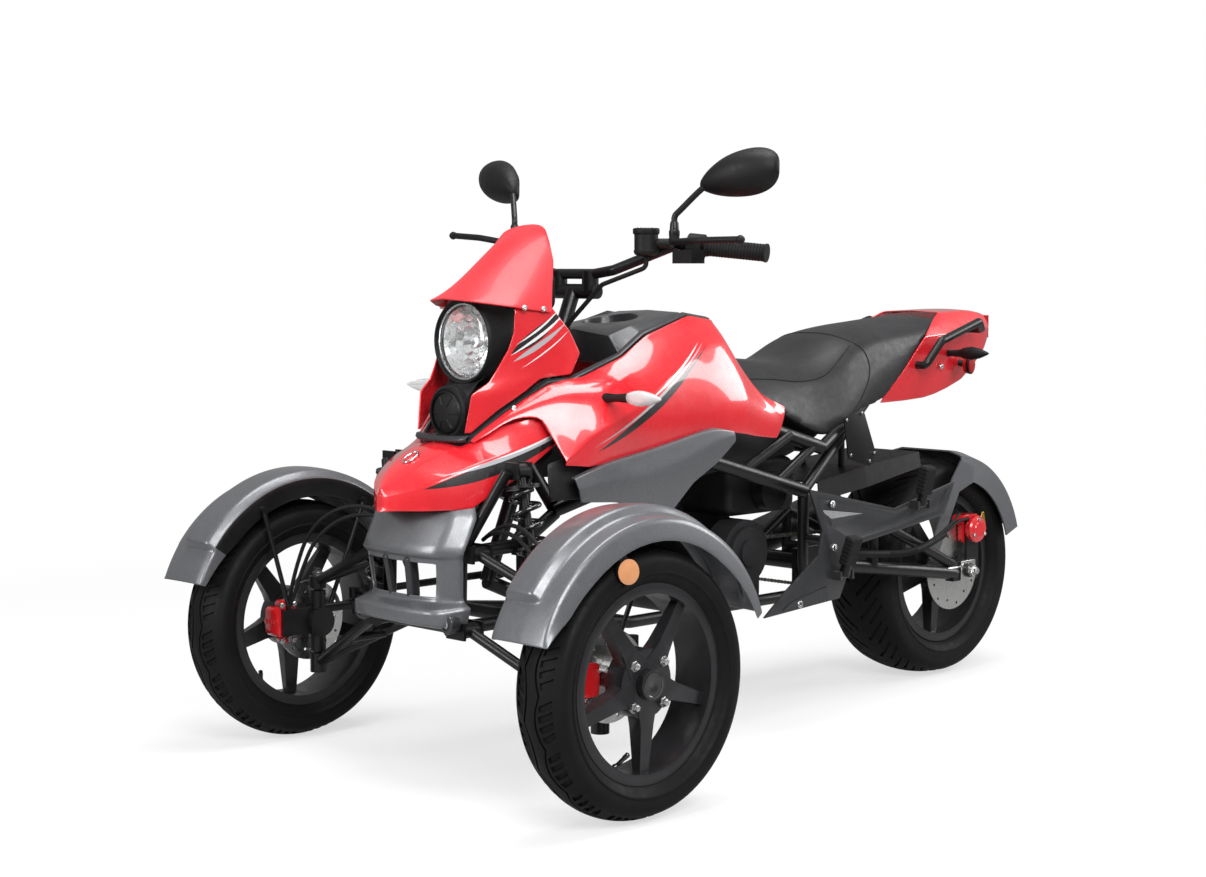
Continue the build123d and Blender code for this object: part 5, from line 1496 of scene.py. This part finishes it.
# %% Mirrors
mirror_rows = (
    # place across, middle x, half depth, middle z, half height
    (283, 344, 8, 1205, 9),
    (294, 340, 15, 1211, 21),
    (310, 335, 21, 1217, 32),
    (334, 329, 26, 1224, 42),
    (362, 322, 29, 1229, 47),
    (390, 315, 29, 1233, 48),
    (416, 308, 25, 1236, 43),
    (436, 303, 19, 1238, 33),
    (448, 300, 11, 1240, 20),
    (452, 299, 5, 1240, 9),
)
mirror_stem = (
    (385, 245, 1103), (385, 245, 1126), (384, 246, 1142), (376, 256, 1156), (352, 286, 1194),
    (338, 306, 1212),
)
mirror_outline = (
    (-1.0, -0.86), (-1.0, 0.86), (-0.72, 1.0), (0.30, 0.86), (1.0, 0.40), (1.0, -0.40), (0.30, -0.86),
    (-0.72, -1.0),
)
shell_grow = 1.08  # Subdivision draws a net in, so the net starts larger
foot_profile = ((0, -2), (11, -2), (11.4, 0), (11.4, 8), (10, 10), (9, 24), (7.4, 28), (0, 28))
glass_x, glass_y, glass_z = 0.2865, 0.372, 1.2300
for side_name, side in side_signs.items():
    shell = bmesh.new()
    rings = []
    for across, mid_x, depth, mid_z, height in mirror_rows:
        ring = []
        for a, b in mirror_outline:
            x, z = mid_x + shell_grow * depth * a, mid_z + shell_grow * height * b
            ring.append(shell.verts.new((mm * x, side * mm * across, mm * z)))
        rings.append(ring)
    skin_rings(shell, rings)
    housing = from_bmesh("mirror_shell_" + side_name, shell, switch_black, "steering", 180)
    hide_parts("mirrors")
    round_off(housing, 3)
    stem = bmesh.new()
    stem_line = [(mm * x, side * mm * y, mm * z) for x, y, z in mirror_stem]
    tube(stem, smooth_path(stem_line, 6), 0.0066, 14)
    turned(stem, foot_profile, stem_line[0], (0, 0, 1), 24)
    from_bmesh("mirror_stem_" + side_name, stem, powder_black, "steering", 30)
    glass = bmesh.new()
    middle = glass.verts.new((glass_x, side * glass_y, glass_z))
    inner, outer = [], []
    for c, s in round_points(36):
        reach_y = 0.052 * abs(c) ** 0.7 * (1 if c >= 0 else -1)
        reach_z = 0.031 * abs(s) ** 0.8 * (1 if s >= 0 else -1)
        for share, store, back in ((0.6, inner, 0.0003), (1.0, outer, 0.0012)):
            x = glass_x + back - 0.245 * share * reach_y
            z = glass_z + share * (reach_z + 0.11 * reach_y)
            store.append(glass.verts.new((x, side * (glass_y + share * reach_y), z)))
    for k in range(36):
        after = (k + 1) % 36
        glass.faces.new((middle, inner[k], inner[after]))
        glass.faces.new((inner[k], outer[k], outer[after], inner[after]))
    from_bmesh("mirror_glass_" + side_name, glass, chrome, "steering", 180)
print("mirrors: 2, rows in a shell:", len(mirror_rows))

# %% [markdown]
# A front brake hose runs from the frame to the knuckle. It is a tube along a curve and rides no body. The
# ribbed conduit on the swingarm doesn't move; its ribs are made by changing the radius of the tube from
# ring to ring.


# %% Brake hoses and conduit
def hose_line(name, points):
    line = bpy.data.curves.new(name, "CURVE")
    line.dimensions = "3D"
    spline = line.splines.new("NURBS")
    spline.points.add(len(points) - 1)
    for knot, place in zip(spline.points, points):
        knot.co = (*place, 1.0)
    spline.order_u = 3
    spline.use_endpoint_u = True
    spline.resolution_u = 24
    holder = bpy.data.objects.new(name, line)
    route = bpy.data.meshes.new_from_object(holder)
    path = [v.co.copy() for v in route.vertices]
    bpy.data.objects.remove(holder)
    bpy.data.meshes.remove(route)
    return path


def line_length(path):
    return sum((b - a).length for a, b in zip(path, path[1:]))


hose_r = 0.0044
for side_name, side in side_signs.items():
    for number, (lift, aside) in enumerate(((0.0, 0.0), (0.016, 0.022))):
        hose = bmesh.new()
        hose_path = hose_line(
            "brake_route",
            (
                (0.800, side * 0.112, 0.492),
                (0.822, side * (0.170 + aside), 0.520 + lift),
                (0.846, side * (0.270 + aside), 0.516 + lift),
                (0.866, side * (0.352 + aside), 0.462 + lift),
                (0.872, side * (0.398 + aside), 0.380),
                (0.872, side * (0.424 + aside), 0.322 - 1.6 * lift),
                (0.874, side * (0.448 + 0.5 * aside), 0.290 - 1.6 * lift),
            ),
        )
        tube(hose, hose_path, hose_r, 10)
        hose_name = "brake_hose_%s_%d" % (side_name, number + 1)
        brake_hose = from_bmesh(hose_name, hose, soft_rubber, None, 60)
        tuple(hose_path[0])
        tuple(hose_path[-1])
        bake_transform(brake_hose)
        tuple(hose_path[0])
        line_length(hose_path)
        print(brake_hose.name, round(line_length(hose_path), 3), "m")
conduit_route = (
    (-0.250, 0.188, 0.372), (-0.330, 0.186, 0.362), (-0.430, 0.178, 0.352), (-0.511, 0.170, 0.344),
    (-0.600, 0.164, 0.352), (-0.686, 0.158, 0.376),
)
conduit_path = hose_line("conduit_route", conduit_route)
conduit = bmesh.new()
tube(conduit, conduit_path, lambda k: 0.0092 if k % 2 else 0.0074, 14)
cable_route = (
    (-0.680, 0.158, 0.374), (-0.740, 0.150, 0.398), (-0.800, 0.140, 0.404), (-0.836, 0.124, 0.398),
)
pipe_route = ((-0.560, 0.166, 0.346), (-0.690, 0.166, 0.384), (-0.770, 0.142, 0.418))
tube(conduit, hose_line("cable_route", cable_route), 0.0042, 10)
tube(conduit, hose_line("pipe_route", pipe_route), 0.0036, 10)
from_bmesh("brake_conduit_rear", conduit, soft_rubber, "chassis", 60)
print("hoses: 4, conduit rings:", len(conduit_path))

# %% [markdown]
# A roller chain is two rows of plates on pins. The run is two straight lines and two arcs round the
# sprockets; stepping along it by one pitch gives the place and heading of every link, and inner and outer
# plates take turns.

# %% Roller chain
chain_y = -0.107
small = Vector((-0.090, 0.350))
large = Vector((-0.795, 0.275))
small_r, large_r = 0.0345, 0.0905
across_run = large - small
run_length = across_run.length
heading = atan2(across_run.y, across_run.x)
lean = np.arcsin((large_r - small_r) / run_length)
straight = sqrt(run_length**2 - (large_r - small_r) ** 2)
small_arc = small_r * (pi - 2 * lean)
large_arc = large_r * (pi + 2 * lean)
chain_length = 2 * straight + small_arc + large_arc
link_count = 2 * round(chain_length / 0.0127 / 2)
link_pitch = chain_length / link_count


def chain_spot(distance):
    upper = heading - pi / 2 - lean
    lower = heading + pi / 2 + lean
    start_low = small + small_r * Vector((cos(lower), sin(lower)))
    way_low = Vector((cos(lower - pi / 2), sin(lower - pi / 2)))
    start_up = large + large_r * Vector((cos(upper), sin(upper)))
    way_up = Vector((cos(upper - pi / 2), sin(upper - pi / 2)))
    if distance < straight:
        return start_low + way_low * distance
    distance -= straight
    if distance < large_arc:
        turn = lower - distance / large_r
        return large + large_r * Vector((cos(turn), sin(turn)))
    distance -= large_arc
    if distance < straight:
        return start_up + way_up * distance
    turn = upper - (distance - straight) / small_r
    return small + small_r * Vector((cos(turn), sin(turn)))


# %% Links of the chain
plate_shape = [(-9.6, 0), (-8.3, 3.4), (-5.6, 4.4), (0, 3.0), (5.6, 4.4), (8.3, 3.4)]
plate_shape += [(-a, -b) for a, b in plate_shape]
pin_profile = ((0, -7), (2.0, -7), (2.0, -3.2), (3.6, -3.2), (3.6, 3.2), (2.0, 3.2), (2.0, 7), (0, 7))
sprocket_profile = ((16, -3), (33, -3), (33, 3), (16, 3), (16, -3))
# near and far face, from the middle of the chain
inner_plate, outer_plate = (0.0034, 0.0046), (0.0050, 0.0062)
links = bmesh.new()
for n in range(link_count):
    here, there = chain_spot(n * link_pitch), chain_spot((n + 1) % link_count * link_pitch)
    middle, way = (here + there) / 2, (there - here).normalized()
    for side in (1, -1):
        faces = []
        for level_y in inner_plate if n % 2 else outer_plate:
            face = []
            for a, b in plate_shape:
                x = middle.x + mm * (a * way.x - b * way.y)
                z = middle.y + mm * (a * way.y + b * way.x)
                face.append(links.verts.new((x, chain_y + side * level_y, z)))
            faces.append(face)
        links.faces.new(faces[0])
        links.faces.new(faces[1])
        skin_rings(links, faces, capped=False)
    turned(links, pin_profile, (here.x, chain_y, here.y), (0, 1, 0), 10)
turned(links, sprocket_profile, (small.x, chain_y, small.y), (0, 1, 0), 40)
roller_chain = from_bmesh("roller_chain", links, chain_steel, "chassis", 30)
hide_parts("chain")
print("chain links:", link_count, "pitch", round(1000 * link_pitch, 2), "mm")

# %% [markdown]
# Fasteners are small but the eye counts them. A pan head screw is turned from a short profile with a
# hexagon socket sunk in it. One table gives the place and the way each one faces.


# %% Screws and bolts
def screw(bm, place, facing, radius):
    head = ((1.0, -2), (1.0, 1.2), (0.86, 2.6), (0.60, 3.2), (0.52, 3.2))
    turned(bm, [(radius * share, along) for share, along in head], place, facing, 20)
    turned(bm, ((radius * 0.54, 3.2), (radius * 0.48, 1.0), (0, 0.8)), place, facing, 6)


screw_table = (
    # place in millimetres, facing, radius
    ((122, 222.5, 703), (0.05, 1, 0.1), 6.5),
    ((549, 233.0, 700), (0.1, 1, -0.2), 6.5),
    ((720, 118.0, 752), (0.4, 0.8, 0.5), 6.0),
    ((700, 128.5, 955), (0.45, 0.9, 0.1), 6.0),
    ((656, 138.0, 952), (0.45, 0.9, 0.1), 6.0),
    ((-98, 280.0, 506), (0, 1, 0.1), 8.5),
    ((13, 280.0, 292), (0, 1, 0.1), 8.5),
    ((-106, 280.0, 407), (0, 1, 0.1), 8.5),
    ((-700, 133.0, 790), (0, 1, -0.1), 7.0),
    ((903, 141.0, 338), (0.5, 1, 0), 8.0),
)
screws = bmesh.new()
for (x, y, z), (fx, fy, fz), radius in screw_table:
    for side in (1, -1):
        screw(screws, (mm * x, side * mm * y, mm * z), (fx, side * fy, fz), radius)
screw(screws, (0.968, 0.0, 0.588), (0.8, 0, 0.55), 6.5)
side_plate_screws = ((-296, 698), (-240, 684), (-256, 602), (-326, 584), (-344, 602))
for x, z in side_plate_screws:
    screw(screws, (mm * x, 0.2035, mm * z), (0, 1, 0), 3.6)
from_bmesh("panel_screws", screws, zinc, "chassis", 25)
bolt_profile = ((0, -3), (6.2, -3), (6.2, 4), (5.2, 5), (0, 5))
kingpin_nut_profile = ((0, 0), (13, 0), (13, 8), (8, 10), (8, 17), (0, 18))
for side_name, side in side_signs.items():
    bolts = bmesh.new()
    for x, z in ((0.858, 0.306), (0.890, 0.306), (0.858, 0.228), (0.890, 0.228)):
        turned(bolts, bolt_profile, (x, side * 0.444, z), (0, -side, 0), 6)
    turned(bolts, kingpin_nut_profile, (0.795, side * 0.440, 0.362), (0, 0, 1), 6)
    from_bmesh("knuckle_bolts_" + side_name, bolts, zinc, "knuckle_" + side_name, 25)
print("screws:", 2 * len(screw_table) + 1 + len(side_plate_screws))

# %% [markdown]
# The rear brake carries a gold lever for the parking cable, and the axle sits in a bright adjuster plate a
# side. Both are cut from sheet, so an outline in side view is drawn twice and joined, and a narrow bevel
# breaks the edges. On top of the nose lies a thin oval rim of chrome, which is a tube along a closed path.

# %% Rear brake lever, axle plates and nose rim
lever_outline = (
    (-0.897, 0.412),
    (-0.889, 0.412),
    (-0.884, 0.398),
    (-0.880, 0.372),
    (-0.884, 0.352),
    (-0.890, 0.344),
    (-0.900, 0.350),
    (-0.908, 0.368),
    (-0.902, 0.392),
)


def flat_part(bm, outline, y_low, y_high):
    low = [bm.verts.new((x, y_low, z)) for x, z in outline]
    high = [bm.verts.new((x, y_high, z)) for x, z in outline]
    bm.faces.new(low)
    bm.faces.new(high[::-1])
    for k in range(len(outline)):
        after = (k + 1) % len(outline)
        bm.faces.new((low[k], high[k], high[after], low[after]))


lever = bmesh.new()
flat_part(lever, lever_outline, 0.124, 0.128)
brake_lever = from_bmesh("parking_brake_lever", lever, gold, "chassis", 25)
adjusters = bmesh.new()
adjuster_outline = ((-0.826, 0.251), (-0.766, 0.251), (-0.766, 0.299), (-0.826, 0.299))
for side in (1, -1):
    y_low, y_high = sorted((side * 0.1485, side * 0.1535))
    flat_part(adjusters, adjuster_outline, y_low, y_high)
    turned(adjusters, ((0, 0), (4, 0), (4, 46), (0, 46)), (-0.766, side * 0.145, 0.284), (1, 0, 0), 12)
axle_plates = from_bmesh("axle_adjusters", adjusters, zinc, "chassis", 25)
for piece in (brake_lever, axle_plates):
    edge = piece.modifiers.new("broken_edge", "BEVEL")
    edge.width, edge.segments = 0.0008, 2
badge = bmesh.new()
badge_heart, badge_slope = Vector((0.893, 0, 0.6575)), Vector((0.86, 0, -0.51))
badge_path = []
for k in range(49):
    turn = 2 * pi * k / 48
    badge_path.append(badge_heart + 0.019 * cos(turn) * badge_slope + Vector((0, 0.013 * sin(turn), 0)))
tube(badge, badge_path, 0.0021, 10)
from_bmesh("nose_badge_rim", badge, chrome, "chassis", 60)

# %% [markdown]
# A grip is ribbed rubber with a collar at each end. Rings of a tube are set close together along the bar,
# and every third ring is drawn in to make a groove.

# %% Grips
grip_rings = 60
collar_rings = (0, 1, 2, grip_rings - 2, grip_rings - 1, grip_rings)
collar_r, rib_r, groove_r = 0.0196, 0.0184, 0.0172


def grip_radius(ring):
    if ring in collar_rings:
        return collar_r
    return rib_r if ring % 3 else groove_r


grip_ribs = bmesh.new()
for side in (1, -1):
    grip_in = Vector((0.356, side * 0.228, 1.084))
    grip_out = Vector((0.282, side * 0.400, 1.066))
    way = (grip_out - grip_in).normalized()
    ends = (grip_in + 0.064 * way, grip_out + 0.008 * way)
    grip_path = [ends[0].lerp(ends[1], k / grip_rings) for k in range(grip_rings + 1)]
    tube(grip_ribs, grip_path, grip_radius, 24)
grip_sleeves = from_bmesh("grip_sleeves", grip_ribs, soft_rubber, "steering", 40)
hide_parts("grips")
print("grips done")

# %% [markdown]
# Each folding peg carries a ribbed rubber pad. It is a rounded rectangle drawn along the bar of the peg, a
# little wider at every second ring, so the ribs are real edges.

# %% Peg pads
peg_places = (("rider", -0.125, 0.345, 30), ("passenger", -0.410, 0.482, 20))
peg_y = 0.292
pad_rings, pad_start, pad_step = 15, 0.026, 0.0048
pad_section = ((19, 10), (16, 13), (-16, 13), (-19, 10), (-19, -10), (-16, -13), (16, -13), (19, -10))
for rider, hinge_x, hinge_z, lean in peg_places:
    for side_name, side in side_signs.items():
        pad = bmesh.new()
        along = Vector((0, side * lean, 88)).normalized()
        outward = Vector((0, along.z, -along.y)) * side
        rings = []
        for n in range(pad_rings):
            grow = 0.86 if n in (0, pad_rings - 1) else 1.0 if n % 2 else 0.95
            start = Vector((hinge_x, side * peg_y, hinge_z)) + along * (pad_start + pad_step * n)
            ring = []
            for a, b in pad_section:
                ring.append(
                    pad.verts.new(start + Vector((mm * grow * a, 0, 0)) + outward * (mm * grow * b))
                )
            rings.append(ring)
        skin_rings(pad, rings)
        peg = "peg_%s_%s" % (rider, side_name)
        from_bmesh("peg_pad_%s_%s" % (rider, side_name), pad, soft_rubber, peg, 20)
print("peg pads: 4")

# %% [markdown]
# The calipers are cast: the front ones have a sleeve for a pin at each end, and the rear one has a round
# pot with three bolts. The bumper has a bolt ear a side under its lip.

# %% Caliper castings and bumper ears
sleeve_profile = ((0, 0), (9, 0), (10, 2), (10, 28), (9, 30), (0, 30))
slide_pin_profile = ((0, -9), (5, -9), (5.6, -7), (5.6, 36), (4, 38), (0, 38))
fin_profile = ((0, 0), (9, 0), (9, 2), (0, 5))
for side_name, side in side_signs.items():
    casting = bmesh.new()
    pins = bmesh.new()
    for pin_z in (0.231, 0.305):
        pin_place = (0.872, side * 0.449, pin_z)
        turned(casting, sleeve_profile, pin_place, (0, side, 0), 20)
        turned(pins, slide_pin_profile, pin_place, (0, side, 0), 16)
    for fin in range(4):
        turned(casting, fin_profile, (0.897, side * (0.453 + 0.011 * fin), 0.268), (1, 0, 0), 18)
    knuckle = "knuckle_" + side_name
    from_bmesh("caliper_casting_" + side_name, casting, caliper_red, knuckle, 30)
    from_bmesh("caliper_pins_" + side_name, pins, zinc, knuckle, 30)
pot = bmesh.new()
pot_x, pot_y, pot_z = -0.853, 0.127, 0.372
pot_profile = ((0, -2), (33, -2), (34, 2), (34, 12), (31, 16), (20, 18), (18, 21), (0, 21))
turned(pot, pot_profile, (pot_x, pot_y, pot_z), (0, 1, 0), 40)
from_bmesh("rear_caliper_pot", pot, caliper_red, "chassis", 30)
pot_bolts = bmesh.new()
pot_bolt_profile = ((0, -2), (4.6, -2), (4.6, 5), (3.6, 6), (0, 6))
for turn in (90, 210, 330):
    place = (pot_x + 0.026 * cos(radians(turn)), pot_y + 0.016, pot_z + 0.026 * sin(radians(turn)))
    turned(pot_bolts, pot_bolt_profile, place, (0, 1, 0), 6)
from_bmesh("rear_caliper_bolts", pot_bolts, zinc, "chassis", 25)
ears = bmesh.new()
ear_bolts = bmesh.new()
ear_profile = ((0, -22), (17, -22), (19, -19), (20, 0), (18.5, 3), (12, 4), (11, 2), (0, 2))
ear_bolt_profile = ((0, 1), (8, 1), (8, 5), (6.5, 6.5), (0, 6.5))
for side in (1, -1):
    ear_place = (0.915, side * 0.134, 0.336)
    turned(ears, ear_profile, ear_place, (1, 0, 0), 36)
    turned(ear_bolts, ear_bolt_profile, ear_place, (1, 0, 0), 6)
from_bmesh("bumper_ears", ears, dark_gunmetal, "chassis", 30)
from_bmesh("bumper_ear_bolts", ear_bolts, zinc, "chassis", 25)
print("castings and ears done")

# %% [markdown]
# Small parts on the handlebar: each brake fluid pot has a cap with two screws, and each lever ends in a
# ball so that fingers can't slip off. On the foot panels a raised dart and a toe plate stiffen the plastic.

# %% Pot caps, lever balls and foot panel ribs
lid_profile = (
    (0, -2), (25.6, -2), (27.4, 0), (28, 2), (28, 9), (26.4, 11.4), (20, 12), (19, 10.6), (0, 10.6),
)
base_profile = ((0, -46), (18, -46), (24, -43), (26.2, -38), (26.2, -35), (25, -34))
ball_profile = ((0, -9), (5.5, -8), (8.6, -3), (9.2, 0), (8.6, 3), (5.5, 8), (0, 9))
pot_screw_profile = ((0, 0), (3.2, 0), (3.2, 2), (2.2, 2.8), (0, 2.8))
upward = (0, 0, 1)
bar_trim = bmesh.new()
pot_screws = bmesh.new()
for side, tip_rise in ((1, 4), (-1, 20)):
    pot_top = (0.414, side * 0.192, 1.106)
    turned(bar_trim, lid_profile, pot_top, upward, 36)
    turned(bar_trim, base_profile, pot_top, upward, 36)
    turned(bar_trim, ball_profile, (0.398, side * 0.439, mm * (1088 + tip_rise)), (0, 1, 0), 20)
    for shift in (-0.022, 0.022):
        turned(pot_screws, pot_screw_profile, (0.414 + shift, side * 0.192, 1.1166), upward, 12)
from_bmesh("bar_trim", bar_trim, switch_black, "steering", 30)
from_bmesh("pot_screws", pot_screws, zinc, "steering", 25)
foot_face = 0.278
dart_base = ((-0.060, 0.496), (-0.212, 0.476), (-0.100, 0.448))
dart_ridge = (-0.092, 0.474)
toe_plate = ((0.072, 0.284), (0.040, 0.300), (-0.080, 0.322), (-0.084, 0.292))
ribs = bmesh.new()
for side in (1, -1):
    ridge = ribs.verts.new((dart_ridge[0], side * (foot_face + 0.0035), dart_ridge[1]))
    base = [ribs.verts.new((x, side * (foot_face - 0.002), z)) for x, z in dart_base]
    for k in range(3):
        ribs.faces.new((base[k], base[(k + 1) % 3], ridge))
    ribs.faces.new(base)
    flat_part(ribs, toe_plate, side * (foot_face - 0.002), side * (foot_face + 0.003))
from_bmesh("foot_panel_ribs", ribs, dark_gunmetal, "chassis", 20)
print("bar trim and foot panel ribs done")

# %% [markdown]
# The last cell measures the dressed part against the solids and prints by how many millimetres it grew
# past them.

# %% Measure and finish
new_low, new_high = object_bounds()
grown_low = [round(1000 * (a - b), 1) for a, b in zip(cad_low, new_low)]
grown_high = [round(1000 * (b - a), 1) for a, b in zip(cad_high, new_high)]
print("grown by:", grown_low, grown_high, "mm")
